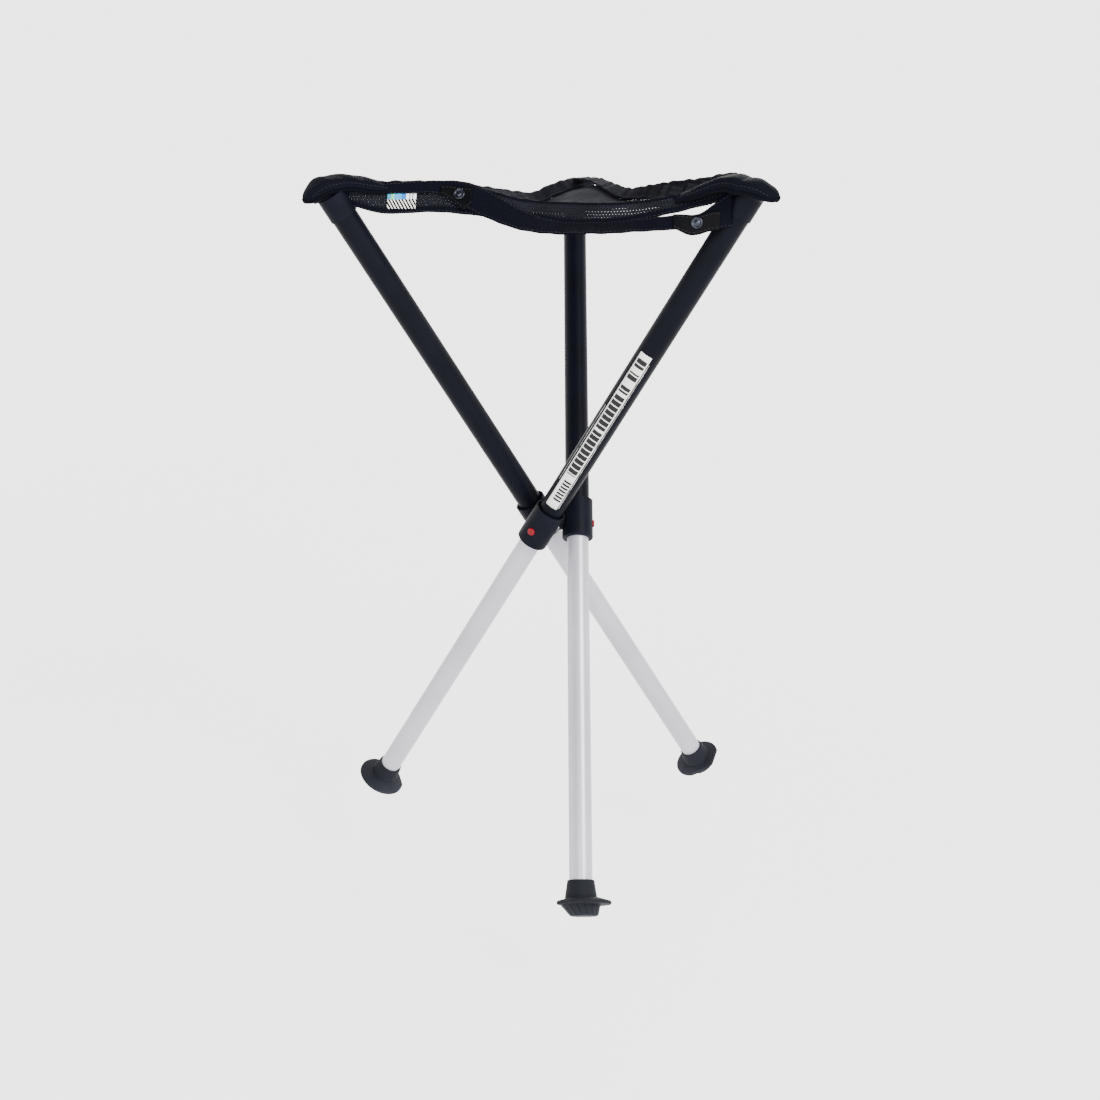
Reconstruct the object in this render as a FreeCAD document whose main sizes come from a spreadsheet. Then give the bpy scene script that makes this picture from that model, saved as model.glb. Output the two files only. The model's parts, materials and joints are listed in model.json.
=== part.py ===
import FreeCAD, Part
import math
import os
from types import SimpleNamespace

import Sketcher
from FreeCAD import Placement, Rotation, Vector

# A folding tripod stool. Three telescopic legs cross at a three-way pivot hub, and a sling seat
# of mesh and webbing ties their tops. The stool stands open, with its legs drawn out and locked.
# Millimetres, Z up, the ground at Z = 0 and the origin below the middle of the outline.
#
# Every leg is drawn in its own frame: X points away from the stool's axis and is the hinge axis,
# Z runs up the leg, and the origin is where the hinge axis meets the middle of the leg.
# The seat is drawn about the stool's axis, with its origin at the hub.

SIZES = (
    # Stance
    ("leg_lean", 33.58, "deg, lean of a leg from upright when the stool stands open"),
    ("leg_offset", 24.8, "stool's axis to the middle of a leg at the hub"),
    ("foot_reach", 371.1, "hinge axis to the middle of the foot's flange"),
    ("cap_reach", 360.8, "hinge axis to the lower rim of the cap"),
    # Clearances
    ("slide_gap", 0.3, "radial gap of a lower leg in the sleeve and in the upper tube"),
    ("press_gap", 0.05, "radial gap of a pressed or glued seat"),
    ("pin_gap", 0.08, "radial gap of a turning pin"),
    ("face_gap", 0.1, "gap between turning faces"),
    ("cloth_gap", 0.3, "gap between the cloth and what it covers"),
    # Tubes
    ("outer_tube_od", 24.0, "outer tube"),
    ("outer_tube_wall", 0.9, "outer tube"),
    ("inner_tube_wall", 1.0, "inner tube"),
    ("bush_depth", 10.0, "guide bush inside the inner tube"),
    ("bush_lip", 3.0, "guide bush above the inner tube"),
    ("tube_overlap", 45.0, "inner tube above the hinge axis when drawn out"),
    # Sleeve at the hinge
    ("sleeve_od", 30.8, "moulded sleeve"),
    ("sleeve_above", 22.2, "sleeve above the hinge axis"),
    ("sleeve_below", 17.9, "sleeve below the hinge axis"),
    ("socket_floor", 8.0, "hinge axis to the seat of the outer tube"),
    ("collar_depth", 6.0, "open collar at the sleeve's top"),
    ("collar_wall", 1.3, "open collar at the sleeve's top"),
    ("sleeve_round", 1.4, "rounding of the sleeve's lower rim"),
    # Hub and pivots
    ("hub_radius", 9.5, "hub core"),
    ("hub_length", 18.0, "hub core"),
    ("hub_flat", 5.5, "stool's axis to a flat of the hub"),
    ("stud_radius", 4.0, "pivot stud on the hub"),
    ("boss_radius", 8.0, "boss on the sleeve round the stud"),
    ("pivot_web", 5.8, "length of the boss along the stud"),
    ("washer_thickness", 0.8, "washer between hub and boss"),
    ("washer_radius", 7.0, "washer between hub and boss"),
    ("screw_head_radius", 5.6, "screw that holds a leg on its stud"),
    ("screw_head", 1.2, "height of that screw's head"),
    ("screw_radius", 1.95, "that screw's shank"),
    ("screw_length", 8.5, "that screw's shank"),
    ("screw_head_gap", 0.4, "radial gap round that screw's head"),
    # Release button and lock spring
    ("button_drop", 2.0, "button below the hinge axis"),
    ("button_radius", 3.7, "button"),
    ("button_gap", 0.3, "radial gap round the button"),
    ("button_flange", 0.8, "thickness and width of the button's flange"),
    ("button_lip", 14.0, "middle of the leg to the lip that holds the button"),
    ("button_proud", 1.5, "button above the sleeve"),
    ("button_round", 1.1, "rounding of the button's rim"),
    ("pin_radius", 3.3, "lock pin"),
    ("spring_width", 6.0, "leaf of the lock spring"),
    ("spring_leaf", 0.6, "thickness of that leaf"),
    ("spring_rise", 28.0, "height of the lock spring above the hinge axis"),
    ("spring_knee", 4.0, "bend of the lock spring above the hinge axis"),
    # Foot
    ("foot_collar_radius", 12.5, "top of the collar round the tube"),
    ("foot_collar_base", 14.7, "bottom of that collar"),
    ("foot_collar_top", 20.0, "top of that collar above the flange"),
    ("foot_socket", 5.0, "floor of the tube's seat above the flange"),
    ("flange_radius", 25.2, "flange"),
    ("flange_shift", 2.8, "flange's centre away from the stool's axis"),
    ("flange_edge", 1.6, "half of the flange's thickness at its edge"),
    ("flange_rise", 6.0, "flange's height at the collar"),
    ("nest_angle", 148.0, "deg, direction of the flats that nest when the stool is folded"),
    ("nest_distance", 20.14, "middle of the leg to those flats"),
    ("tread_top_radius", 19.0, "tread under the flange"),
    ("tread_top_shift", 1.0, "its centre towards the stool's axis"),
    ("tread_radius", 12.9, "tread at the sole"),
    ("tread_shift", 2.9, "its centre away from the stool's axis"),
    ("tread_depth", 12.0, "sole below the middle of the flange"),
    ("tread_round", 2.5, "rounding of the sole's rim"),
    ("flute_radius", 0.9, "flutes round the tread"),
    ("flute_top", 2.4, "upper end of the flutes below the middle of the flange"),
    ("heel_cut", 1.0, "flat worn on the sole where it stands"),
    # Cap and cloth pocket at the top of a leg
    ("cap_radius", 13.1, "collar of the cap"),
    ("cap_cover", 15.5, "tube inside the cap"),
    ("cap_collar", 21.7, "length of the cap's collar"),
    ("head_radius", 14.5, "head of the cap"),
    ("head_shift", 8.0, "head's centre away from the stool's axis"),
    ("head_height", 8.0, "head of the cap"),
    ("head_round", 2.0, "rounding of the head's rims"),
    ("pocket_wall", 1.2, "cloth pocket over the head"),
    ("pocket_top", 1.5, "top of that pocket"),
    ("pocket_round", 1.4, "rounding of the pocket's rim"),
    # Seat
    ("mesh_thickness", 1.2, "seat mesh"),
    ("webbing_thickness", 2.4, "binding along the seat's edges"),
    ("webbing_width", 14.0, "binding along the seat's edges"),
    ("patch_drop", 11.0, "doubled cloth at a corner, below the seat at the cap"),
    ("patch_top", 4.5, "doubled cloth at a corner, above the seat at the cap"),
    ("patch_bevel", 3.0, "bevel along the sides of that cloth"),
    ("seat_rise", 6.0, "seat at the corners above the middle of the caps' heads"),
    ("corner_reach", 52.0, "length of the doubled cloth at a corner"),
    ("side_inset", 14.0, "how far the two rear edges curve in"),
    ("front_inset", 20.0, "how far the front edge curves in"),
    ("seat_sag", 16.0, "how far the middle of the seat hangs"),
    ("strap_thickness", 1.6, "strap across the front"),
    ("tab_thickness", 1.4, "tabs at the strap's ends"),
    ("stud_cap_radius", 5.2, "press studs"),
    ("stud_cap_height", 1.6, "press studs"),
)

LEGS = (1, 2, 3)
FLUTES = 16
TURN = 360.0 / len(LEGS)


# Sizes and the sheet


class Size:
    """A number and the sheet formula that gives it."""

    def __init__(self, value, text):
        self.value = value
        self.text = text

    def __add__(self, other):
        return Size(self.value + number(other), "(%s + %s)" % (self.text, formula(other)))

    def __sub__(self, other):
        return Size(self.value - number(other), "(%s - %s)" % (self.text, formula(other)))

    def __mul__(self, other):
        return Size(self.value * number(other), "(%s * %s)" % (self.text, formula(other)))

    def __truediv__(self, other):
        return Size(self.value / number(other), "(%s / %s)" % (self.text, formula(other)))

    def __neg__(self):
        return Size(-self.value, "(0 - %s)" % self.text)


def number(size):
    return size.value if isinstance(size, Size) else float(size)


def formula(size):
    return size.text if isinstance(size, Size) else "(%.12g)" % size


def cosine(angle):
    return Size(math.cos(math.radians(angle.value)), "cos(%s)" % angle.text)


def sine(angle):
    return Size(math.sin(math.radians(angle.value)), "sin(%s)" % angle.text)


os.makedirs("parts", exist_ok=True)
doc = FreeCAD.newDocument("TripodStool")
sheet = doc.addObject("Spreadsheet::Sheet", "Sizes")
dim = SimpleNamespace()
for row, (name, value, note) in enumerate(SIZES, 1):
    sheet.set("A%d" % row, name)
    sheet.set("B%d" % row, "%.12g" % value)
    sheet.setAlias("B%d" % row, name)
    sheet.set("C%d" % row, note)
    setattr(dim, name, Size(value, "Sizes." + name))
doc.recompute()

# Sizes that follow from the driving ones
outer_radius = dim.outer_tube_od / 2
outer_bore = outer_radius - dim.outer_tube_wall
inner_radius = outer_bore - dim.slide_gap
inner_bore = inner_radius - dim.inner_tube_wall
sleeve_radius = dim.sleeve_od / 2
sleeve_bore = inner_radius + dim.slide_gap
boss_face = dim.leg_offset - dim.hub_flat - dim.washer_thickness - dim.face_gap
head_seat = boss_face - dim.pivot_web
stud_end = head_seat - dim.face_gap
button_seat = dim.button_radius + dim.button_flange + dim.button_gap
button_back = dim.button_lip - dim.face_gap - dim.button_flange
tube_end = dim.cap_reach + dim.cap_cover
cap_top = dim.cap_reach + dim.cap_collar
head_top = cap_top + dim.head_height
pocket_bore = dim.head_radius + dim.cloth_gap
pocket_radius = pocket_bore + dim.pocket_wall
pocket_base = cap_top + dim.cloth_gap
pocket_crown = head_top + dim.cloth_gap + dim.pocket_top
sole = dim.foot_reach + dim.tread_depth
rim_rise = cosine(dim.leg_lean) + sine(dim.leg_lean) - 1
hub_height = (
    sole * cosine(dim.leg_lean)
    + dim.tread_radius * sine(dim.leg_lean)
    - dim.tread_round * rim_rise
    - dim.heel_cut
)


# Drawing helpers

nodes = []


def bind(thing, prop, size):
    """Set a length and tie it to the sheet."""
    setattr(thing, prop, number(size))
    if isinstance(size, Size):
        thing.setExpression(prop, size.text)


def new_body(label):
    return doc.addObject("PartDesign::Body", "body_" + label)


def keep(thing, label, placement):
    """Name a finished piece and put it in its place."""
    thing.Label = label
    thing.Placement = placement
    nodes.append(thing)
    return thing


def add_sketch(body, name, plane, height=None):
    """A sketch on one of the body's own planes, moved along the plane's normal by height."""
    sketch = body.newObject("Sketcher::SketchObject", name)
    support = [item for item in body.Origin.OriginFeatures if item.Role == plane][0]
    sketch.AttachmentSupport = [(support, "")]
    sketch.MapMode = "FlatFace"
    if height is not None:
        sketch.AttachmentOffset = Placement(Vector(0, 0, number(height)), Rotation())
        sketch.setExpression("AttachmentOffset.Base.z", formula(height))
    return sketch


def hold(sketch, geometry, point, x, y):
    """Hold a point at x, y from the sketch's origin."""
    for kind, size, axis in (("DistanceX", x, -2), ("DistanceY", y, -1)):
        if number(size) == 0:
            sketch.addConstraint(Sketcher.Constraint("PointOnObject", geometry, point, axis))
            continue
        rule = Sketcher.Constraint(kind, -1, 1, geometry, point, number(size))
        index = sketch.addConstraint(rule)
        if isinstance(size, Size):
            sketch.setExpression("Constraints[%d]" % index, size.text)


def draw_outline(sketch, corners):
    """A closed outline through corners given as (x, y)."""
    first = sketch.GeometryCount
    count = len(corners)
    spots = [Vector(number(x), number(y), 0) for x, y in corners]
    for i in range(count):
        sketch.addGeometry(Part.LineSegment(spots[i], spots[(i + 1) % count]), False)
    for i in range(count):
        joint = Sketcher.Constraint("Coincident", first + i, 2, first + (i + 1) % count, 1)
        sketch.addConstraint(joint)
    for i, (x, y) in enumerate(corners):
        hold(sketch, first + i, 1, x, y)


def draw_circle(sketch, radius, x=0, y=0):
    circle = Part.Circle(Vector(number(x), number(y), 0), Vector(0, 0, 1), number(radius))
    index = sketch.addGeometry(circle, False)
    rule = sketch.addConstraint(Sketcher.Constraint("Radius", index, number(radius)))
    if isinstance(radius, Size):
        sketch.setExpression("Constraints[%d]" % rule, radius.text)
    if number(x) == 0 and number(y) == 0:
        sketch.addConstraint(Sketcher.Constraint("Coincident", index, 3, -1, 1))
    else:
        hold(sketch, index, 3, x, y)


def turned(body, name, corners, shift=None):
    """Turn a (radius, height) profile about Z, or about a line parallel to Z at X = shift."""
    sketch = add_sketch(body, name + "_profile", "XZ_Plane")
    draw_outline(sketch, corners)
    axis = "V_Axis"
    if shift is not None:
        foot = Vector(number(shift), 0, 0)
        index = sketch.addGeometry(Part.LineSegment(foot, foot + Vector(0, 10, 0)), True)
        sketch.addConstraint(Sketcher.Constraint("Vertical", index))
        sketch.addConstraint(Sketcher.Constraint("DistanceY", index, 1, index, 2, 10.0))
        hold(sketch, index, 1, shift, 0)
        axis = "Axis0"
    feature = body.newObject("PartDesign::Revolution", name)
    feature.Profile = sketch
    feature.ReferenceAxis = (sketch, [axis])
    feature.Angle = 360
    return feature


def padded(body, name, plane, height, length, circles, back=False):
    """Pad circles given as (radius, x, y) from height along the plane's normal, or back."""
    sketch = add_sketch(body, name + "_outline", plane, height)
    for circle in circles:
        draw_circle(sketch, *circle)
    feature = body.newObject("PartDesign::Pad", name)
    feature.Profile = sketch
    bind(feature, "Length", length)
    feature.Reversed = back
    return feature


def bored(body, name, length, circle, back=False):
    """Bore a circle in the YZ plane from the middle of the leg, outwards or back to the hub."""
    sketch = add_sketch(body, name + "_outline", "YZ_Plane")
    draw_circle(sketch, *circle)
    feature = body.newObject("PartDesign::Pocket", name)
    feature.Profile = sketch
    bind(feature, "Length", length)
    feature.Reversed = not back
    return feature


def ring(radius, height):
    """A test for the round edge of that radius at that height."""

    def is_ring(edge):
        curve = edge.Curve
        if curve.TypeId != "Part::GeomCircle":
            return False
        near = abs(curve.Radius - number(radius)) < 0.01
        return near and abs(curve.Center.z - number(height)) < 0.01

    return is_ring


def rounded(body, name, radius, *tests):
    """Round the edges of the body's last feature that pass one of the tests."""
    doc.recompute()
    base = body.Tip
    found = [
        "Edge%d" % (i + 1)
        for i, edge in enumerate(base.Shape.Edges)
        if any(test(edge) for test in tests)
    ]
    feature = body.newObject("PartDesign::Fillet", name)
    feature.Base = (base, found)
    bind(feature, "Radius", radius)
    return feature


# Places

hub_place = Placement(Vector(0, 0, hub_height.value), Rotation())


def turned_place(leg):
    """The hub's frame turned to a leg, X pointing out along that leg's hinge axis."""
    return hub_place * Placement(Vector(), Rotation(Vector(0, 0, 1), TURN * (leg - 1)))


def leg_place(leg):
    """The leg's own frame."""
    lean = Rotation(Vector(1, 0, 0), -dim.leg_lean.value)
    return turned_place(leg) * Placement(Vector(dim.leg_offset.value, 0, 0), lean)


# Hub


def make_hub():
    """A core with three flats, each carrying a pivot stud that is tapped for a screw."""
    body = new_body("hub_spider")
    padded(body, "core", "XY_Plane", -dim.hub_length / 2, dim.hub_length, [(dim.hub_radius,)])
    sketch = add_sketch(body, "flat_outline", "XY_Plane", -dim.hub_length / 2)
    side = dim.hub_radius * 2
    draw_outline(
        sketch, ((dim.hub_flat, -side), (side, -side), (side, side), (dim.hub_flat, side))
    )
    flat = body.newObject("PartDesign::Pocket", "flat")
    flat.Profile = sketch
    bind(flat, "Length", dim.hub_length)
    flat.Reversed = True
    reach = dim.leg_offset - stud_end
    inside = dim.hub_flat / 2
    stud = padded(body, "stud", "YZ_Plane", inside, reach - inside, [(dim.stud_radius,)])
    sketch = add_sketch(body, "tapping_outline", "YZ_Plane", reach)
    draw_circle(sketch, dim.screw_radius + dim.press_gap)
    tapping = body.newObject("PartDesign::Pocket", "tapping")
    tapping.Profile = sketch
    bind(tapping, "Length", dim.screw_length + dim.face_gap)
    pattern = body.newObject("PartDesign::PolarPattern", "three_ways")
    pattern.Originals = [flat, stud, tapping]
    axis = [item for item in body.Origin.OriginFeatures if item.Role == "Z_Axis"][0]
    pattern.Axis = (axis, [""])
    pattern.Angle = 360
    pattern.Occurrences = len(LEGS)
    body.Tip = pattern
    keep(body, "hub_spider", hub_place)


def make_washer(leg):
    """A washer between the hub's flat and the boss of a sleeve."""
    body = new_body("pivot_washer_%d" % leg)
    rims = [(dim.washer_radius,), (dim.stud_radius + dim.pin_gap,)]
    padded(body, "disc", "YZ_Plane", dim.hub_flat, dim.washer_thickness, rims)
    keep(body, "pivot_washer_%d" % leg, turned_place(leg))


def make_screw(leg):
    """The low-headed screw whose head keeps the sleeve on its stud."""
    body = new_body("pivot_screw_%d" % leg)
    seat = dim.leg_offset - stud_end
    padded(body, "head", "YZ_Plane", seat, dim.screw_head, [(dim.screw_head_radius,)])
    padded(body, "shank", "YZ_Plane", seat, dim.screw_length, [(dim.screw_radius,)], True)
    keep(body, "pivot_screw_%d" % leg, turned_place(leg))


# Upper leg


def make_outer_tube(leg):
    body = new_body("outer_tube_%d" % leg)
    length = tube_end - dim.socket_floor
    padded(
        body, "tube", "XY_Plane", dim.socket_floor, length, [(outer_radius,), (outer_bore,)]
    )
    keep(body, "outer_tube_%d" % leg, leg_place(leg))


def make_sleeve(leg):
    """The moulded sleeve that holds the upper tube, guides the lower one and carries the boss."""
    body = new_body("sleeve_%d" % leg)
    seat = outer_radius + dim.press_gap
    collar = sleeve_radius - dim.collar_wall
    top = dim.sleeve_above
    turned(
        body,
        "sleeve",
        (
            (sleeve_bore, -dim.sleeve_below),
            (sleeve_radius, -dim.sleeve_below),
            (sleeve_radius, top),
            (collar, top),
            (seat, top - dim.collar_depth),
            (seat, dim.socket_floor),
            (sleeve_bore, dim.socket_floor),
        ),
    )
    padded(body, "boss", "YZ_Plane", -boss_face, dim.pivot_web, [(dim.boss_radius,)])
    bored(body, "stud_hole", dim.leg_offset, (dim.stud_radius + dim.pin_gap,), True)
    head_hole = dim.screw_head_radius + dim.screw_head_gap
    bored(body, "head_hole", head_seat, (head_hole,), True)
    button_hole = dim.button_radius + dim.button_gap
    bored(body, "button_hole", dim.sleeve_od, (button_hole, 0, -dim.button_drop))
    bored(body, "button_chamber", dim.button_lip, (button_seat, 0, -dim.button_drop))
    rounded(body, "rim_rounding", dim.sleeve_round, ring(sleeve_radius, -dim.sleeve_below))
    keep(body, "sleeve_%d" % leg, leg_place(leg))


def make_button(leg):
    """The release button, held under the sleeve's lip by its flange."""
    body = new_body("button_%d" % leg)
    spot = (0, -dim.button_drop)
    flange = dim.button_radius + dim.button_flange
    padded(body, "flange", "YZ_Plane", button_back, dim.button_flange, [(flange,) + spot])
    crown = sleeve_radius + dim.button_proud
    padded(
        body, "stem", "YZ_Plane", button_back, crown - button_back, [(dim.button_radius,) + spot]
    )

    def is_crown(edge):
        return edge.BoundBox.XMin > crown.value - 0.01

    rounded(body, "crown_rounding", dim.button_round, is_crown)
    keep(body, "button_%d" % leg, leg_place(leg))


def make_cap(leg):
    """The cap on the upper tube, with its head set off towards the outside of the stool."""
    body = new_body("tube_cap_%d" % leg)
    seat = outer_radius + dim.press_gap
    turned(
        body,
        "collar",
        (
            (0, tube_end),
            (seat, tube_end),
            (seat, dim.cap_reach),
            (dim.cap_radius, dim.cap_reach),
            (dim.cap_radius, cap_top),
            (0, cap_top),
        ),
    )
    padded(
        body, "head", "XY_Plane", cap_top, dim.head_height, [(dim.head_radius, dim.head_shift, 0)]
    )
    rounded(body, "head_rounding", dim.head_round, ring(dim.head_radius, head_top))
    keep(body, "tube_cap_%d" % leg, leg_place(leg))


def make_pocket(leg):
    """The stiff cloth cup sewn to the seat's corner that hoods the cap's head."""
    body = new_body("corner_pocket_%d" % leg)
    shift = dim.head_shift
    turned(
        body,
        "hood",
        (
            (shift, head_top + dim.cloth_gap),
            (shift + pocket_bore, head_top + dim.cloth_gap),
            (shift + pocket_bore, pocket_base),
            (shift + pocket_radius, pocket_base),
            (shift + pocket_radius, pocket_crown),
            (shift, pocket_crown),
        ),
        shift,
    )
    rounded(body, "hood_rounding", dim.pocket_round, ring(pocket_radius, pocket_crown))
    keep(body, "corner_pocket_%d" % leg, leg_place(leg))


# Lower leg


def make_inner_tube(leg):
    body = new_body("inner_tube_%d" % leg)
    bottom = dim.foot_reach - dim.foot_socket
    rims = [(inner_radius,), (inner_bore,)]
    padded(body, "tube", "XY_Plane", -bottom, bottom + dim.tube_overlap, rims)
    hole = dim.pin_radius + dim.face_gap
    bored(body, "pin_hole", dim.outer_tube_od, (hole, 0, -dim.button_drop))
    keep(body, "inner_tube_%d" % leg, leg_place(leg))


def make_guide_bush(leg):
    """The plug in the lower tube's top end that runs in the upper tube."""
    body = new_body("guide_bush_%d" % leg)
    top = dim.tube_overlap
    plug = inner_bore - dim.press_gap
    bore = plug - dim.inner_tube_wall * 2
    turned(
        body,
        "bush",
        (
            (bore, top - dim.bush_depth),
            (plug, top - dim.bush_depth),
            (plug, top),
            (inner_radius, top),
            (inner_radius, top + dim.bush_lip),
            (bore, top + dim.bush_lip),
        ),
    )
    keep(body, "guide_bush_%d" % leg, leg_place(leg))


def make_lock_spring(leg):
    """The sprung hairpin in the lower tube, whose pin stands out through tube and sleeve."""
    body = new_body("lock_spring_%d" % leg)
    wall = inner_bore - dim.spring_leaf * 1.5
    inside = wall - dim.spring_leaf
    low = -dim.button_drop - dim.pin_radius * 2
    knee = dim.spring_knee
    top = dim.spring_rise
    bend = inner_bore / 3
    sketch = add_sketch(body, "leaf_outline", "XZ_Plane")
    draw_outline(
        sketch,
        (
            (wall, low),
            (wall, knee),
            (bend, top),
            (-bend, top),
            (-wall, knee),
            (-wall, low),
            (-inside, low),
            (-inside, knee),
            (-bend + dim.spring_leaf, top - dim.spring_leaf),
            (bend - dim.spring_leaf, top - dim.spring_leaf),
            (inside, knee),
            (inside, low),
        ),
    )
    leaf = body.newObject("PartDesign::Pad", "leaf")
    leaf.Profile = sketch
    bind(leaf, "Length", dim.spring_width)
    leaf.Midplane = True
    tip = button_back - dim.face_gap
    pin = [(dim.pin_radius, 0, -dim.button_drop)]
    padded(body, "pin", "YZ_Plane", inside, tip - inside, pin)
    keep(body, "lock_spring_%d" % leg, leg_place(leg))


def make_foot_body():
    """A rubber foot: collar, off-centre flange with two nesting flats, and a tapering tread."""
    body = new_body("foot_body")
    middle = -dim.foot_reach
    seat = inner_radius + dim.press_gap
    floor = middle + dim.foot_socket
    turned(
        body,
        "collar",
        (
            (0, middle),
            (dim.foot_collar_base, middle),
            (dim.foot_collar_base, middle + dim.flange_rise),
            (dim.foot_collar_radius, middle + dim.foot_collar_top),
            (seat, middle + dim.foot_collar_top),
            (seat, floor),
            (0, floor),
        ),
    )
    shift = dim.flange_shift
    edge = dim.flange_edge
    # The slope ends inside the collar on every side
    neck = dim.foot_collar_base - shift * 2
    rim = dim.flange_radius - edge / 2
    turned(
        body,
        "flange",
        (
            (shift, middle - edge),
            (shift + rim, middle - edge),
            (shift + dim.flange_radius, middle - edge / 2),
            (shift + dim.flange_radius, middle + edge / 2),
            (shift + rim, middle + edge),
            (shift + neck, middle + dim.flange_rise),
            (shift, middle + dim.flange_rise),
        ),
        shift,
    )
    # The socket for the tube, cut again where the flange's hub filled it
    sketch = add_sketch(body, "socket_outline", "XY_Plane", floor)
    draw_circle(sketch, seat)
    socket = body.newObject("PartDesign::Pocket", "socket")
    socket.Profile = sketch
    bind(socket, "Length", dim.foot_collar_top)
    socket.Reversed = True
    # Tread
    top = add_sketch(body, "tread_top", "XY_Plane", middle - edge / 2)
    draw_circle(top, dim.tread_top_radius, -dim.tread_top_shift, 0)
    end = add_sketch(body, "tread_end", "XY_Plane", middle - dim.tread_depth)
    draw_circle(end, dim.tread_radius, dim.tread_shift, 0)
    tread = body.newObject("PartDesign::AdditiveLoft", "tread")
    tread.Profile = top
    tread.Sections = [end]
    rounded(body, "tread_rounding", dim.tread_round, ring(dim.tread_radius, -sole))
    # Two flats that let the three feet nest side by side
    sketch = add_sketch(body, "nest_outline", "XY_Plane", middle - dim.flange_rise)
    nose = dim.nest_distance / cosine(dim.nest_angle)
    far = dim.flange_radius * 2
    tail = nose + far * sine(dim.nest_angle)
    side = -far * cosine(dim.nest_angle)
    draw_outline(
        sketch, ((nose, 0), (tail, side), (-far, side), (-far, -side), (tail, -side))
    )
    flats = body.newObject("PartDesign::Pocket", "nesting_flats")
    flats.Profile = sketch
    bind(flats, "Length", dim.flange_rise * 2)
    flats.Reversed = True
    return body


def make_foot_cutters():
    """The flutes along the slanting side of the tread, and the ground under the sole."""
    cutters = []
    # The side of the tread, from its top round down to the sole
    high = dim.foot_reach + dim.flange_edge / 2
    side_length = (sole - high).value
    skip = (dim.flute_top - dim.flange_edge / 2).value / side_length
    for i in range(FLUTES):
        turn = math.radians(360.0 * (i + 0.5) / FLUTES)
        out = Vector(math.cos(turn), math.sin(turn), 0)
        start = out * dim.tread_top_radius.value
        start += Vector(-dim.tread_top_shift.value, 0, -high.value)
        end = out * dim.tread_radius.value + Vector(dim.tread_shift.value, 0, -sole.value)
        step = end - start
        flute = doc.addObject("Part::Cylinder", "flute_%d" % (i + 1))
        bind(flute, "Radius", dim.flute_radius)
        flute.Height = step.Length * (1 - skip) + dim.flute_radius.value * 2
        spot = start + step * skip + out * (dim.flute_radius.value / 3)
        flute.Placement = Placement(spot, Rotation(Vector(0, 0, 1), step))
        cutters.append(flute)
    ground = doc.addObject("Part::Box", "ground")
    for prop in ("Length", "Width", "Height"):
        bind(ground, prop, dim.flange_radius * 3)
    # Level with the ground and centred below the foot
    half = dim.flange_radius.value * 1.5
    away = -hub_height.value * math.tan(math.radians(dim.leg_lean.value))
    corner_spot = Vector(-half, away - half, -hub_height.value - half * 2)
    level = Rotation(Vector(1, 0, 0), dim.leg_lean.value)
    ground.Placement = Placement(level.multVec(corner_spot), level)
    cutters.append(ground)
    tools = doc.addObject("Part::MultiFuse", "foot_cutters")
    tools.Shapes = cutters
    return tools


def make_feet():
    body = make_foot_body()
    cutters = make_foot_cutters()
    for leg in LEGS:
        foot = doc.addObject("Part::Cut", "foot_cut_%d" % leg)
        foot.Base = body
        foot.Tool = cutters
        keep(foot, "foot_%d" % leg, leg_place(leg))


# Seat

# Lower edge of the front flap: share of the way from the left corner to the right one, inset
# towards the stool's axis, drop below the corners.
FRONT_EDGE = (
    (0.07, 2, 20),
    (0.14, 2, 26),
    (0.27, 2, 25),
    (0.39, 3, 29),
    (0.48, 6, 31),
    (0.58, 10, 36),
    (0.70, 9, 35),
    (0.83, 4, 26),
    (0.89, 3, 20.5),
    (0.95, 2, 15),
)
# The strap that lies on the flap: share of the way, drop of its upper and lower edges, and how
# far the lower edge stands out in front of the flap's.
STRAP = (
    (0.13, 1, 9, 0),
    (0.20, -1, 9, 0),
    (0.28, -2, 10, 0),
    (0.34, 0, 22, 0),
    (0.39, 8, 30, 2),
    (0.45, 20, 38, 9),
    (0.52, 31, 43, 15),
    (0.58, 35, 44, 18),
    (0.70, 34, 43, 17),
    (0.83, 28, 40, 5),
    (0.93, 23, 36, 1),
)
# The tabs at the strap's ends: share of the way, upper and lower edge as shares of the strap.
LEFT_TAB = ((0.278, 0.5, 1.0), (0.30, 0.35, 1.05), (0.336, 0.22, 1.1), (0.352, 0.18, 0.8))
RIGHT_TAB = ((0.828, 0.0, 0.92), (0.866, 0.08, 1.42), (0.91, 0.1, 1.3), (0.935, 0.15, 1.15))
# The press studs: share of the way and share of the strap's width from its upper edge.
LEFT_STUD = (0.322, 0.62)
RIGHT_STUD = (0.882, 0.68)
# Drops of the three edges of the stretched cloth, as (share of the way, drop).
LEFT_DROPS = ((0, 0), (0.35, -1), (0.5, 3), (0.72, 10), (0.88, 6), (1, 0))
RIGHT_DROPS = ((0, 0), (0.14, 7), (0.3, 8), (0.45, 5), (0.62, 1), (0.85, -2), (1, 0))
CREASE_DROPS = (
    (0, 0),
    (0.28, 1),
    (0.39, 8),
    (0.46, 15),
    (0.56, 18),
    (0.72, 18),
    (0.85, 11),
    (1, 0),
)
UP = Vector(0, 0, 1)
# Where the flap and the strap in front of it begin and end
FLAP_ENDS = (0.07, 0.95)
STRAP_ENDS = (0.145, 0.93)
# Share of the flap's height at which its binding starts
FLAP_SEAM = 0.86


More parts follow.
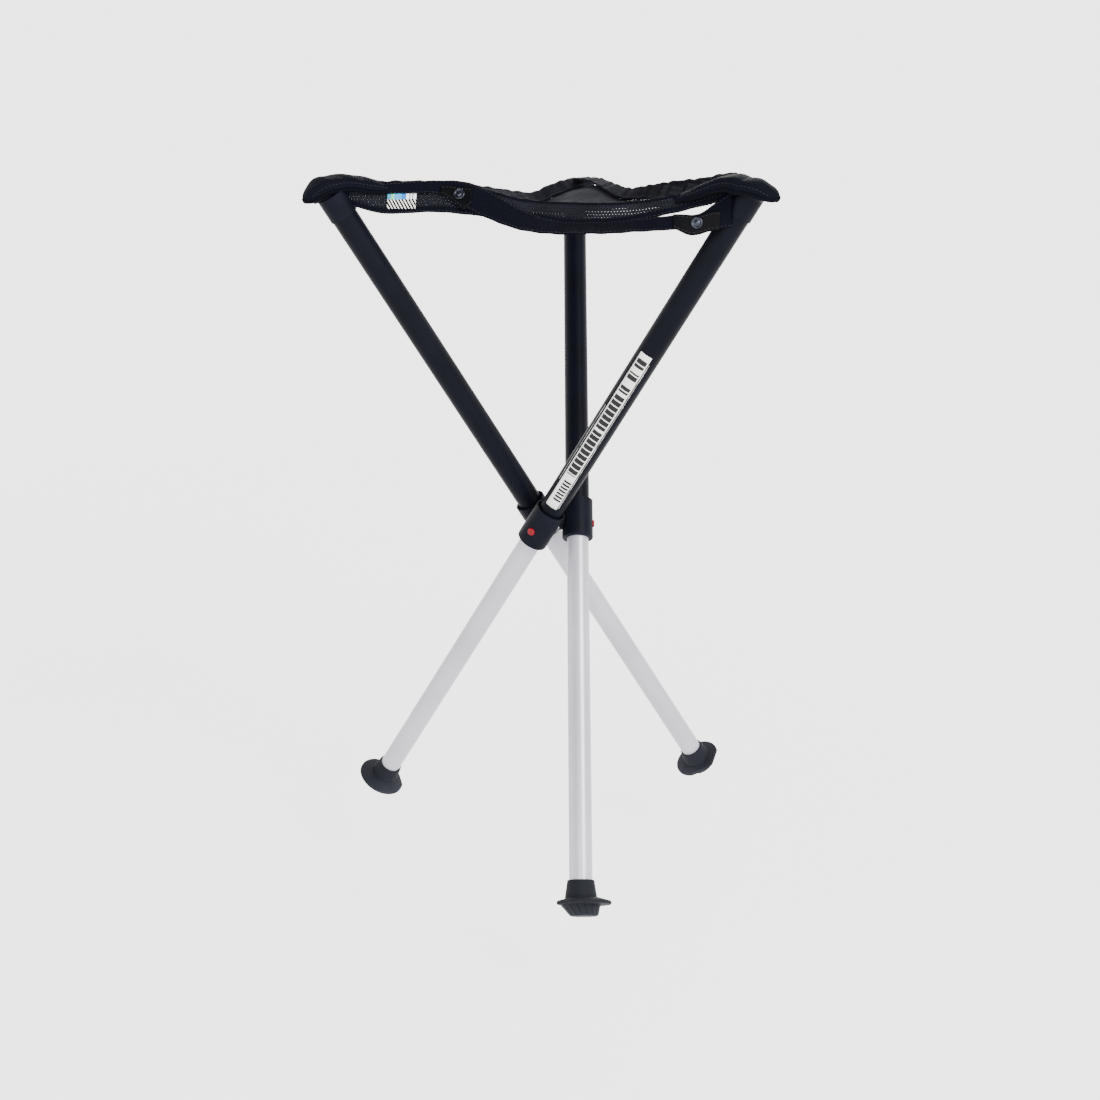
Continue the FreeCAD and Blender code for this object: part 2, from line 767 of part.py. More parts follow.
def smooth(rows, at, column=1):
    """The value of a column at a place between the rows, on a curve through all of them."""
    rows = list(rows)
    slopes = []
    for i in range(len(rows)):
        before = rows[max(i - 1, 0)]
        after = rows[min(i + 1, len(rows) - 1)]
        slopes.append((after[column] - before[column]) / (after[0] - before[0]))
    at = min(max(at, rows[0][0]), rows[-1][0])
    last = [i for i in range(len(rows) - 1) if rows[i][0] <= at][-1]
    width = rows[last + 1][0] - rows[last][0]
    part = (at - rows[last][0]) / width
    low = rows[last][column]
    high = rows[last + 1][column]
    ease = part * part * (3 - 2 * part)
    bend = part * (1 - part) * ((1 - part) * slopes[last] - part * slopes[last + 1])
    return low + (high - low) * ease + bend * width


def corner(leg):
    """The middle of the cap's head on a leg, seen from the hub, at the seat's height."""
    place = hub_place.inverse() * leg_place(leg)
    middle = (cap_top.value + head_top.value) / 2
    spot = place.multVec(Vector(dim.head_shift.value, 0, middle))
    return spot + UP * dim.seat_rise.value


class Edge:
    """One edge of the stretched cloth between two corners, curved in and hanging."""

    def __init__(self, first, last, inset, drops):
        self.start = corner(first)
        self.run = corner(last) - self.start
        across = UP.cross(self.run)
        self.inward = across.normalize()
        if self.inward.dot(self.start) > 0:
            self.inward = -self.inward
        self.inset = inset.value
        self.drops = drops

    def drop(self, share):
        return smooth(self.drops, share)

    def point(self, share, inset=0.0, drop=0.0):
        """A point on the straight line between the corners, moved in and down."""
        return self.start + self.run * share + self.inward * inset - UP * drop

    def curved(self, share, width=0.0):
        """A point in plan on the curved edge, or width inside it."""
        return self.point(share, self.inset * 4 * share * (1 - share) + width)

    def place(self, spot):
        """The share of the way of a spot and how far it lies inside the curved edge."""
        flat = Vector(spot.x - self.start.x, spot.y - self.start.y, 0)
        share = min(max(flat.dot(self.run) / self.run.dot(self.run), 0.0), 1.0)
        return share, flat.dot(self.inward) - self.inset * 4 * share * (1 - share)


seat_height = corner(1).z
left_edge = Edge(2, 1, dim.side_inset, LEFT_DROPS)
right_edge = Edge(1, 3, dim.side_inset, RIGHT_DROPS)
crease = Edge(2, 3, dim.front_inset, CREASE_DROPS)


def cloth_height(x, y):
    """Height of the stretched cloth: the three edges' heights shared out, less the sag."""
    total = 0.0
    height = 0.0
    room = 1.0
    for edge in (left_edge, right_edge, crease):
        share, inside = edge.place(Vector(x, y, 0))
        weight = 1.0 / (inside * inside + 16.0)
        total += weight
        height += weight * (seat_height - edge.drop(share))
        room *= min(max(inside, 0.0) / 70.0, 1.0)
    return height / total - dim.seat_sag.value * room


def cloth_slab(base, thickness):
    """The stretched cloth as a slab whose underside lies at base over the cloth's height."""
    reach = max(abs(v) for leg in LEGS for v in (corner(leg).x, corner(leg).y)) + 10
    steps = 22
    grid = []
    for i in range(steps + 1):
        x = reach * (2.0 * i / steps - 1)
        row = []
        for j in range(steps + 1):
            y = reach * (2.0 * j / steps - 1)
            row.append(Vector(x, y, cloth_height(x, y) + base))
        grid.append(row)
    surface = Part.BSplineSurface()
    surface.interpolate(grid)
    return surface.toShape().extrude(UP * thickness)


def spline(points):
    curve = Part.BSplineCurve()
    curve.interpolate(points)
    return curve.toShape()


def plan_region(*edges):
    """The flat region inside edges that follow one another, at the hub's height."""
    return Part.Face(Part.Wire(edges))


def plan_curve(edge, width=0.0, back=False):
    points = [edge.curved(i / 10.0, width) for i in range(11)]
    if back:
        points.reverse()
    return spline([Vector(spot.x, spot.y, 0) for spot in points])


def plan_strip(edge, width):
    """The strip inside a curved edge."""
    outer = plan_curve(edge)
    inner = plan_curve(edge, width, True)
    ends = [
        Part.LineSegment(outer.Vertexes[-1].Point, inner.Vertexes[0].Point).toShape(),
        Part.LineSegment(inner.Vertexes[-1].Point, outer.Vertexes[0].Point).toShape(),
    ]
    return plan_region(outer, ends[0], inner, ends[1])


def corner_disc(leg):
    spot = corner(leg)
    circle = Part.Circle(Vector(spot.x, spot.y, 0), UP, dim.corner_reach.value)
    return Part.Face(Part.Wire(circle.toShape()))


def corner_column(leg):
    """The space over and under a corner's doubled cloth."""
    return corner_disc(leg).extrude(UP * (seat_height * 2))


def cut_cloth(region, base, thickness):
    """The part of the stretched cloth over a region of the plan."""
    prism = region.extrude(UP * (seat_height * 2))
    return cloth_slab(base, thickness).common(prism)


def add_cloth(label, shape):
    """A soft piece, made with shape functions because its form follows a surface."""
    thing = doc.addObject("Part::Feature", "cloth_" + label)
    solids = shape.Solids
    thing.Shape = max(solids, key=lambda solid: solid.Volume) if solids else shape
    keep(thing, label, hub_place)


def band(upper, lower, thickness):
    """A band between two curves, as thick as the given vector."""
    return Part.makeRuledSurface(upper, lower).extrude(thickness)


def make_stretched_cloth():
    """The mesh, the bindings of its rear edges and the doubled cloth at its corners."""
    triangle = plan_region(
        plan_curve(left_edge), plan_curve(right_edge), plan_curve(crease, 0.0, True)
    )
    discs = [corner_disc(leg) for leg in LEGS]
    strips = [plan_strip(edge, dim.webbing_width.value) for edge in (left_edge, right_edge)]
    base = -(dim.webbing_thickness.value - dim.mesh_thickness.value) / 2
    for label, strip in zip(("hem_left", "hem_right"), strips):
        region = strip.cut(discs)
        add_cloth(label, cut_cloth(region, base, dim.webbing_thickness.value))
    region = triangle.cut(strips + discs)
    add_cloth("seat_panel", cut_cloth(region, 0.0, dim.mesh_thickness.value))


def make_corner_patch(leg):
    """The doubled cloth at a corner, a wedge from the pocket's full height down to the mesh."""
    spot = corner(leg)
    out = Vector(spot.x, spot.y, 0).normalize()
    side = UP.cross(out)
    reach = dim.corner_reach.value * 1.15
    far = spot - out * reach
    inner = spot - out * dim.corner_reach.value
    low = cloth_height(inner.x, inner.y) - seat_height
    near_half = pocket_radius.value - 1
    far_half = reach * math.tan(math.radians(30)) - dim.side_inset.value / 2
    thick = dim.webbing_thickness.value
    bevel = dim.patch_bevel.value
    rings = []
    for base, half, bottom, top in (
        (spot - out * 2, near_half, -dim.patch_drop.value, dim.patch_top.value),
        (far, far_half, low - thick / 2, low + thick),
    ):
        points = [
            base + side * half + UP * bottom,
            base - side * half + UP * bottom,
            base - side * (half - bevel) + UP * top,
            base + side * (half - bevel) + UP * top,
        ]
        rings.append(Part.makePolygon(points + points[:1]))
    wedge = Part.makeLoft(rings, True, True)
    wedge = wedge.common(corner_column(leg))
    # Room for the cap, the tube and the pocket, which lean with the leg
    place = hub_place.inverse() * leg_place(leg)
    gap = dim.cloth_gap.value
    axis = place.Rotation.multVec(UP)
    foot = place.multVec(Vector(0, 0, dim.cap_reach.value / 2))
    neck = Part.makeCylinder(
        dim.cap_radius.value + gap, cap_top.value + gap - dim.cap_reach.value / 2, foot, axis
    )
    foot = place.multVec(Vector(dim.head_shift.value, 0, pocket_base.value - gap))
    hood = Part.makeCylinder(pocket_radius.value + gap, dim.cap_reach.value, foot, axis)
    add_cloth("corner_patch_%d" % leg, wedge.cut([neck, hood]))


def flap_spot(share, part):
    """A point on the front flap, part of the way from the crease to the flap's lower edge."""
    top = crease.curved(share) - UP * crease.drop(share)
    low = crease.point(share, smooth(FRONT_EDGE, share, 1), smooth(FRONT_EDGE, share, 2))
    return top + (low - top) * part


def strap_spot(share, part):
    """A point on the strap's back, part of the way from its upper edge to its lower one."""
    low_inset = smooth(FRONT_EDGE, share, 1)
    high_inset = crease.inset * 4 * share * (1 - share)
    high_drop = crease.drop(share)
    low_drop = smooth(FRONT_EDGE, share, 2)
    ends = []
    for column, stands_out in ((1, 0.0), (2, smooth(STRAP, share, 3))):
        drop = smooth(STRAP, share, column)
        along = min(max((drop - high_drop) / (low_drop - high_drop), 0.0), 1.0)
        inset = high_inset + (low_inset - high_inset) * along - stands_out
        ends.append(crease.point(share, inset, drop))
    start = dim.webbing_thickness.value + dim.cloth_gap.value
    return ends[0] + (ends[1] - ends[0]) * part - crease.inward * start


def shares(first, last, count):
    return [first + (last - first) * i / count for i in range(count + 1)]


def make_front():
    """The flap that hangs from the crease, its binding, and the strap in front of them."""
    out = -crease.inward
    gap = out * dim.press_gap.value
    curves = []
    for part in (0.0, FLAP_SEAM, 1.0):
        spots = [flap_spot(share, part) + gap for share in shares(*FLAP_ENDS, 16)]
        curves.append(spline(spots))
    upper, seam, lower = curves
    flap = band(upper, seam, out * dim.mesh_thickness.value * 1.3)
    hem = band(seam, lower, out * dim.webbing_thickness.value)
    columns = [corner_column(leg) for leg in LEGS]
    add_cloth("seat_flap", flap.cut(columns))
    add_cloth("hem_front", hem.cut(columns))
    strap = dim.strap_thickness.value
    lean = (out + UP).normalize() * strap
    curves = []
    for part in (0.0, 1.0):
        curves.append(spline([strap_spot(share, part) for share in shares(*STRAP_ENDS, 20)]))
    add_cloth("strap", band(curves[0], curves[1], lean))
    rise = lean + out * dim.cloth_gap.value
    tab = (out + UP).normalize() * dim.tab_thickness.value
    for label, rows in (("strap_tab_left", LEFT_TAB), ("strap_tab_right", RIGHT_TAB)):
        curves = []
        for column in (1, 2):
            spots = []
            for share in shares(rows[0][0], rows[-1][0], 6):
                spots.append(strap_spot(share, smooth(rows, share, column)) + rise)
            curves.append(spline(spots))
        add_cloth(label, band(curves[0], curves[1], tab))
    for label, spot in (("press_stud_left", LEFT_STUD), ("press_stud_right", RIGHT_STUD)):
        make_press_stud(label, spot[0], spot[1], rise + tab)


def make_press_stud(label, share, part, rise):
    """The round head of a press stud, with a ring rolled into it."""
    body = new_body(label)
    radius = dim.stud_cap_radius
    height = dim.stud_cap_height
    turned(
        body,
        "head",
        (
            (0, 0),
            (radius, 0),
            (radius, height / 2),
            (radius * 0.85, height),
            (radius * 0.6, height),
            (radius * 0.5, height / 2),
            (radius * 0.25, height / 2),
            (0, height * 0.8),
        ),
    )
    spot = strap_spot(share, part)
    along = strap_spot(share + 0.01, part) - spot
    down = strap_spot(share, part + 0.1) - spot
    normal = down.cross(along).normalize()
    if normal.dot(crease.inward) > 0:
        normal = -normal
    place = Placement(spot + rise + normal * dim.cloth_gap.value, Rotation(UP, normal))
    keep(body, label, hub_place * place)


# Build

make_hub()
for leg in LEGS:
    make_washer(leg)
    make_screw(leg)
    make_outer_tube(leg)
    make_sleeve(leg)
    make_button(leg)
    make_cap(leg)
    make_pocket(leg)
    make_inner_tube(leg)
    make_guide_bush(leg)
    make_lock_spring(leg)
    make_corner_patch(leg)
make_feet()
make_stretched_cloth()
make_front()

doc.recompute()

# Move the stool so that the origin lies on the ground below the middle of its outline
outline = FreeCAD.BoundBox()
for node in nodes:
    outline.add(node.Shape.optimalBoundingBox(False))
middle = Vector(-round(outline.Center.x, 1), -round(outline.Center.y, 1), 0)
for node in nodes:
    node.Placement = Placement(middle, Rotation()) * node.Placement
doc.recompute()

for thing in doc.Objects:
    if {"Invalid", "Error"} & set(thing.State):
        raise SystemExit("%s did not build" % thing.Label)
for node in nodes:
    shape = node.Shape
    if shape.isNull() or not shape.isValid() or len(shape.Solids) != 1:
        raise SystemExit("%s is not one sound solid" % node.Label)
for node in nodes:
    node.Shape.exportStep("parts/%s.step" % node.Label)
print("stool's axis at x %.1f, y %.1f, hub at z %.3f" % (middle.x, middle.y, hub_height.value))
print("%d pieces" % len(nodes))
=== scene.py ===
import json
import math

import bmesh
import bpy
import numpy as np
from mathutils import Matrix, Vector


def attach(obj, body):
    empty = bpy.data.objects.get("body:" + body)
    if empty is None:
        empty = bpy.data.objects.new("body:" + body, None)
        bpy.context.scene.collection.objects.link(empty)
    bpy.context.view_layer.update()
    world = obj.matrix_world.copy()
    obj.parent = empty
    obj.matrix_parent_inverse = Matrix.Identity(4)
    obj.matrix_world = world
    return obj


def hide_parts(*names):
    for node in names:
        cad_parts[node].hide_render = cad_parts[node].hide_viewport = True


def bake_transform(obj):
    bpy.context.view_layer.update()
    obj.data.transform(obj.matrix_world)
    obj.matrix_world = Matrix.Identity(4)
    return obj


# A folding tripod stool with a sling seat of net and webbing. The tubes, sleeves, caps, buttons,
# feet and the hub are the solids of the frame. The cloth, its bindings, stitches, tabs and press
# studs, the strip on one tube and the woven tag are made here.
#
# Shapes are worked out in millimetres about the middle of the hub, with Z up.
# UVs are in metres along and across a piece.

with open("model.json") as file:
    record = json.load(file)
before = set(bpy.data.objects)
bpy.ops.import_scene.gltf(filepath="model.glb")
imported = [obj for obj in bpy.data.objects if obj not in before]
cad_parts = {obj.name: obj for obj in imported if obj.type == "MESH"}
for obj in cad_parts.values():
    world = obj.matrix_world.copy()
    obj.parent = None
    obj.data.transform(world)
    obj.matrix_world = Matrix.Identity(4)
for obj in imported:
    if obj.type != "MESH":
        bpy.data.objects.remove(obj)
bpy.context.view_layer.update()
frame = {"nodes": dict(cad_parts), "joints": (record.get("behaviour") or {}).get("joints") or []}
nodes = frame["nodes"]

LEGS = (1, 2, 3)
SIDES = {2: "left", 3: "right"}
UP = np.array([0.0, 0.0, 1.0])
# The legs lean this far from upright, and their axes pass this far from the stool's own
LEAN = math.radians(33.58)
LEG_OFFSET = 24.8
# The cloth's corners lie over this spot of each leg, out from its axis and up it, and this high
HEAD_SHIFT = 8.0
HEAD_MIDDLE = 386.5
CORNER_HEIGHT = 328.0
TUBE_RADIUS = 12.0
WEBBING_WIDTH = 14.0
WEBBING_THICKNESS = 2.4
MESH_THICKNESS = 1.2
CLOTH_GAP = 0.3
SIDE_INSET = 14.0
FRONT_INSET = 20.0
# The seat sags this far in the middle, once it is SAG_REACH inside its edges
SEAT_SAG = 16.0
SAG_REACH = 70.0
# The blunting of the edges' pull on the cloth, in square millimetres
EDGE_BLUNTING = 16.0
# Beside a turned binding the cloth dips down to this far inside the edge, and rises again after
DIP_DEEPEST = 9.0

joints = {joint["name"]: joint for joint in frame["joints"]}
pivots = [joints["fold_%d" % leg]["pos_m"] for leg in LEGS]
hub = np.mean(pivots, axis=0) * 1000


# Places


def to_row(points):
    """Millimetres about the hub become metres in the shared frame."""
    return (np.asarray(points, float) + hub) / 1000


def unit(vectors):
    """Vectors divided by their lengths."""
    vectors = np.asarray(vectors, float)
    return vectors / np.linalg.norm(vectors, axis=-1, keepdims=True)


def leg_axes(leg):
    """A leg's own directions as rows: away from the stool's axis, across, and up the leg."""
    turn = math.radians(120 * (leg - 1))
    out = np.array([math.cos(turn), math.sin(turn), 0.0])
    across = np.array([-math.sin(turn), math.cos(turn), 0.0])
    return np.array(
        [
            out,
            across * math.cos(LEAN) - UP * math.sin(LEAN),
            across * math.sin(LEAN) + UP * math.cos(LEAN),
        ]
    )


def on_leg(leg, points):
    """Points given in a leg's own frame, as points about the hub."""
    axes = leg_axes(leg)
    return axes[0] * LEG_OFFSET + np.asarray(points, float) @ axes


def corner(leg):
    """Where the edges of the cloth meet over a leg's cap."""
    spot = on_leg(leg, [HEAD_SHIFT, 0, HEAD_MIDDLE])
    return np.array([spot[0], spot[1], CORNER_HEIGHT])


# The seat's edges. Each row starts with the share of the way from corner to corner.

# The flap's lower edge: how far it lies inside the line between the corners, and below them
FRONT_EDGE = np.array(
    [
        (0.07, 2, 20),
        (0.14, 2, 26),
        (0.27, 2, 25),
        (0.39, 3, 29),
        (0.48, 6, 31),
        (0.58, 10, 36),
        (0.70, 9, 35),
        (0.83, 4, 26),
        (0.89, 3, 20.5),
        (0.95, 2, 15),
    ]
)
# The strap: the drops of its upper and its lower edge, and how far the lower one stands out
STRAP = np.array(
    [
        (0.13, 1, 9, 0),
        (0.20, -1, 9, 0),
        (0.28, -2, 10, 0),
        (0.34, 0, 22, 0),
        (0.39, 8, 30, 2),
        (0.45, 20, 38, 9),
        (0.52, 31, 43, 15),
        (0.58, 35, 44, 18),
        (0.70, 34, 43, 17),
        (0.83, 28, 40, 5),
        (0.885, 26.5, 40, 2),
        (0.92, 18, 39, 1),
        (0.96, 7, 38, 0),
    ]
)
# The tabs: their upper and lower edges as parts of the strap's width, measured from its upper edge
LEFT_TAB = np.array([(0.278, 0.5, 1.0), (0.30, 0.35, 1.05), (0.336, 0.22, 1.1), (0.352, 0.18, 0.8)])
RIGHT_TAB = np.array(
    [(0.828, 0.0, 0.92), (0.866, 0.03, 1.36), (0.91, 0.24, 1.09), (0.935, 0.42, 1.02)]
)
# Middles of the press studs, as a share of the way and a part of the strap's width
LEFT_STUD = (0.322, 0.62)
RIGHT_STUD = (0.882, 0.57)
# How far the stretched edges hang below the corners
LEFT_DROPS = np.array(
    [(0, 0), (0.35, -1), (0.5, 3), (0.66, 8.5), (0.74, 9.9), (0.8, 4.4), (0.875, -1.2), (0.94, -4.4),
     (1, -4.5)]
)
RIGHT_DROPS = np.array(
    [(0, -4.5), (0.1, -4.6), (0.2, -3.4), (0.29, 0.6), (0.42, 6.2), (0.5, 4.5), (0.67, 0),
     (0.82, -2.8), (0.92, -6.3), (1, -4)]
)
CREASE_DROPS = np.array(
    [(0, 0), (0.28, 1), (0.39, 8), (0.46, 15), (0.56, 18), (0.72, 18), (0.85, 11), (1, 0)]
)
# How far the bindings of the two rear edges are turned down, in degrees
LEFT_TURN = np.array(
    [(0, 2), (0.06, 6), (0.125, 15), (0.3, 25), (0.6, 35), (0.8, 45), (0.9, 42), (0.97, 34), (1, 20)]
)
RIGHT_TURN = np.array(
    [(0, 4), (0.1, 4), (0.2, 6), (0.3, 16), (0.42, 40), (0.55, 62), (0.8, 66), (0.875, 58),
     (0.94, 25), (1, 4)]
)


def smooth(rows, at, column=1):
    """A cubic curve through a column's values, level-matched by the slope between neighbours."""
    places = rows[:, 0]
    values = rows[:, column]
    before = np.maximum(np.arange(len(rows)) - 1, 0)
    after = np.minimum(np.arange(len(rows)) + 1, len(rows) - 1)
    slopes = (values[after] - values[before]) / (places[after] - places[before])
    at = np.clip(np.asarray(at, float), places[0], places[-1])
    last = np.clip(np.searchsorted(places, at, side="right") - 1, 0, len(rows) - 2)
    width = places[last + 1] - places[last]
    part = (at - places[last]) / width
    step = part * part * (3 - 2 * part)
    bend = part * (1 - part) * ((1 - part) * slopes[last] - part * slopes[last + 1])
    return values[last] + (values[last + 1] - values[last]) * step + bend * width


def ease(values):
    """Zero below 0, one above 1, and three squares less two cubes of the value between."""
    values = np.clip(values, 0.0, 1.0)
    return values * values * (3 - 2 * values)


class Edge:
    """One edge of the stretched cloth between two corners. Its plan is a parabola, inset in the
    middle, and it hangs by its drops. turns are the angles of a binding that is turned down."""

    def __init__(self, first, last, inset, drops, turns=None):
        self.start = corner(first)
        self.run = corner(last) - self.start
        self.length = float(np.linalg.norm(self.run))
        self.along = self.run / self.length
        inward = unit(np.cross(UP, self.run))
        self.inward = -inward if inward @ self.start > 0 else inward
        self.inset = inset
        self.drops = drops
        self.turns = turns

    def point(self, share, inset, drop):
        """A point on the straight line between the corners, moved in and down."""
        share, inset, drop = np.broadcast_arrays(share, inset, drop)
        moved = self.inward * inset[..., None] - UP * drop[..., None]
        return self.start + self.run * share[..., None] + moved

    def bow(self, share):
        """How far the curved edge lies inside the straight line: the inset times four times the
        share times what is left of it."""
        return self.inset * 4 * share * (1 - share)

    def curved(self, share, width, drop):
        """A point that lies width inside the curved edge and drop below the corners."""
        share = np.asarray(share, float)
        return self.point(share, self.bow(share) + width, drop)

    def place(self, x, y):
        """The share of the way of a spot and how far it lies inside the curved edge."""
        dx = x - self.start[0]
        dy = y - self.start[1]
        share = np.clip((dx * self.run[0] + dy * self.run[1]) / self.length**2, 0, 1)
        inside = dx * self.inward[0] + dy * self.inward[1]
        return share, inside - self.bow(share)


left_edge = Edge(2, 1, SIDE_INSET, LEFT_DROPS, LEFT_TURN)
right_edge = Edge(1, 3, SIDE_INSET, RIGHT_DROPS, RIGHT_TURN)
crease = Edge(2, 3, FRONT_INSET, CREASE_DROPS)


def cloth_height(x, y):
    """Height of the stretched cloth: the three edges' heights, each weighed by one over the square
    of its distance, less the sag in the middle and the dip beside a turned binding."""
    total = 0.0
    height = 0.0
    room = 1.0
    dip = 0.0
    for edge in (left_edge, right_edge, crease):
        share, inside = edge.place(x, y)
        weight = 1.0 / (inside * inside + EDGE_BLUNTING)
        total = total + weight
        height = height + weight * (CORNER_HEIGHT - smooth(edge.drops, share))
        room = room * np.clip(inside / SAG_REACH, 0, 1)
        if edge.turns is not None:
            turn = np.radians(smooth(edge.turns, share))
            near = ease(inside / DIP_DEEPEST) * (1 - ease((inside - DIP_DEEPEST) / SAG_REACH))
            dip = dip + WEBBING_WIDTH * np.sin(turn) * near
    return height / total - SEAT_SAG * room - dip


def flap_spot(share, part):
    """A point on the front flap, part of the way from the crease to the flap's lower edge."""
    share, part = np.broadcast_arrays(np.asarray(share, float), np.asarray(part, float))
    top = crease.curved(share, 0.0, smooth(CREASE_DROPS, share))
    low = crease.point(share, smooth(FRONT_EDGE, share, 1), smooth(FRONT_EDGE, share, 2))
    return top + (low - top) * part[..., None]


def strap_spot(share, part):
    """A point on the strap's back, part of the way from its upper edge to its lower one."""
    share, part = np.broadcast_arrays(np.asarray(share, float), np.asarray(part, float))
    low_inset = smooth(FRONT_EDGE, share, 1)
    high_inset = crease.bow(share)
    high_drop = smooth(CREASE_DROPS, share)
    low_drop = smooth(FRONT_EDGE, share, 2)
    ends = []
    for column, stands_out in ((1, 0.0), (2, smooth(STRAP, share, 3))):
        drop = smooth(STRAP, share, column)
        along = np.clip((drop - high_drop) / (low_drop - high_drop), 0, 1)
        inset = high_inset + (low_inset - high_inset) * along - stands_out
        ends.append(crease.point(share, inset, drop))
    out = -crease.inward * (WEBBING_THICKNESS + CLOTH_GAP)
    return ends[0] + (ends[1] - ends[0]) * part[..., None] + out


# Mesh making

# Points nearer than this in metres become one
MERGE_DISTANCE = 2e-6
# A carried profile has this size beside the point that closes its end
END_SIZE = 0.8
# The points along and round one stitch, and the power that blunts its ends
STITCH_LENGTHWISE = 5
STITCH_ROUND = 6
STITCH_BLUNTING = 0.6


class Sheaf:
    """Grids and repeated shapes gathered for one mesh."""

    def __init__(self):
        self.points = []
        self.faces = []
        self.maps = []
        self.count = 0

    def add(self, points, faces, maps):
        """Takes in points, faces that name them, and a flat place for each face's corners."""
        self.points.append(points.reshape(-1, 3))
        self.faces.append(faces + self.count)
        self.maps.append(maps)
        self.count += len(self.points[-1])

    def grid(self, points, along, across, round_across=False, flip=False):
        """Joins the neighbours of a grid with four-sided faces. along and across are the flat
        distances in millimetres of its rows and columns, with one more where it closes round."""
        rows, columns = points.shape[:2]
        i = np.arange(rows - 1)[:, None]
        j = np.arange(columns if round_across else columns - 1)[None, :]
        next_j = (j + 1) % columns
        corners = [(i, j), (i + 1, j), (i + 1, next_j), (i, next_j)]
        flats = [(i, j), (i + 1, j), (i + 1, j + 1), (i, j + 1)]
        faces = np.stack([(a * columns + b) for a, b in corners], -1).reshape(-1, 4)
        along = np.asarray(along, float)
        across = np.asarray(across, float)
        maps = [np.stack(np.broadcast_arrays(along[a], across[b]), -1) for a, b in flats]
        maps = np.stack(maps, -2).reshape(-1, 4, 2)
        if flip:
            faces = faces[:, ::-1]
            maps = maps[:, ::-1]
        self.add(points, faces, maps)

    def copies(self, shape, faces, spots, axes):
        """Sets one small shape at many spots, with its own directions as rows at each."""
        points = spots[:, None, :] + np.einsum("pk,nkc->npc", shape, axes)
        step = (np.arange(len(spots)) * len(shape))[:, None, None]
        many = (faces[None] + step).reshape(-1, 4)
        self.add(points, many, np.zeros((len(many), 4, 2)))

    def mesh(self, name, material):
        """The mesh in metres, with doubled corners merged and its poles closed."""
        points = to_row(np.concatenate(self.points))
        faces = np.concatenate(self.faces)
        maps = np.concatenate(self.maps) / 1000
        data = bpy.data.meshes.new(name)
        data.vertices.add(len(points))
        data.vertices.foreach_set("co", points.ravel())
        data.loops.add(faces.size)
        data.loops.foreach_set("vertex_index", faces.ravel())
        data.polygons.add(len(faces))
        data.polygons.foreach_set("loop_start", np.arange(0, faces.size, 4))
        layer = data.uv_layers.new(name="flat")
        layer.uv.foreach_set("vector", maps.ravel())
        data.update(calc_edges=True)
        melted = bmesh.new()
        melted.from_mesh(data)
        bmesh.ops.remove_doubles(melted, verts=melted.verts, dist=MERGE_DISTANCE)
        melted.to_mesh(data)
        melted.free()
        data.shade_smooth()
        data.materials.append(material)
        return data


def place(sheaf, name, material, body=None, replaces=()):
    """Puts a finished mesh on a body, or else bakes its place into the mesh itself."""
    piece = bpy.data.objects.new(name, sheaf.mesh(name, material))
    bpy.context.scene.collection.objects.link(piece)
    if body is not None:
        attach(piece, body)
    else:
        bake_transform(piece)
    if replaces:
        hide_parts(*replaces)
    return piece


def slab_outline(count, power):
    """A flat band's outline: cosine and sine, each raised to a small power to square it up."""
    turn = np.arange(count) * 2 * math.pi / count
    x = np.sign(np.cos(turn)) * np.abs(np.cos(turn)) ** power
    y = np.sign(np.sin(turn)) * np.abs(np.sin(turn)) ** power
    return x, y


def with_ends(rows):
    """Rows with the first and the last one three times over, to close the ends of a piece."""
    return np.concatenate([rows[:1], rows[:1], rows, rows[-1:], rows[-1:]])


def carried(path, across, through, x, y):
    """A profile carried along a path: path plus x times across plus y times through. Two more
    rows at each end shrink to a point, which closes it."""
    shrink = np.concatenate([[0.0, END_SIZE], np.ones(len(path)), [END_SIZE, 0.0]])
    rows = with_ends(np.arange(len(path)))
    path = path[rows][:, None]
    across = (across[rows] * shrink[:, None])[:, None]
    through = (through[rows] * shrink[:, None])[:, None]
    return path + across * x[None, :, None] + through * y[None, :, None]


def distances(path):
    """How far each point of a path lies along it."""
    steps = np.linalg.norm(np.diff(path, axis=0), axis=1)
    return np.concatenate([[0.0], np.cumsum(steps)])


def band(sheaf, path, across, through, count=20, power=0.35):
    """A flat band along a path, with half its width as across and half its thickness as through."""
    x, y = slab_outline(count, power)
    points = carried(path, across, through, x, y)
    along = with_ends(distances(path))
    half = np.linalg.norm(across, axis=1).mean()
    width = np.append(x, x[0]) * half
    turns = np.cross(across[0], through[0]) @ (path[1] - path[0])
    sheaf.grid(points, along, width, round_across=True, flip=turns > 0)


def roll(sheaf, path, radius, count=10):
    """A round cord along a path: a circle carried along it, square to the path."""
    along = unit(np.gradient(path, axis=0))
    # A hair off upright, so that an upright path has a side too
    side = unit(np.cross(along, UP + 1e-6))
    top = np.cross(side, along)
    turn = np.arange(count) * 2 * math.pi / count
    points = carried(path, side * radius, top * radius, np.cos(turn), np.sin(turn))
    round_it = np.arange(count + 1) * 2 * math.pi * radius / count
    sheaf.grid(points, with_ends(distances(path)), round_it, round_across=True, flip=True)


def along_path(at, steps, rows):
    """Points or directions read off at distances along a path, whose own distances are steps."""
    return np.stack([np.interp(at, steps, rows[:, k]) for k in range(3)], -1)


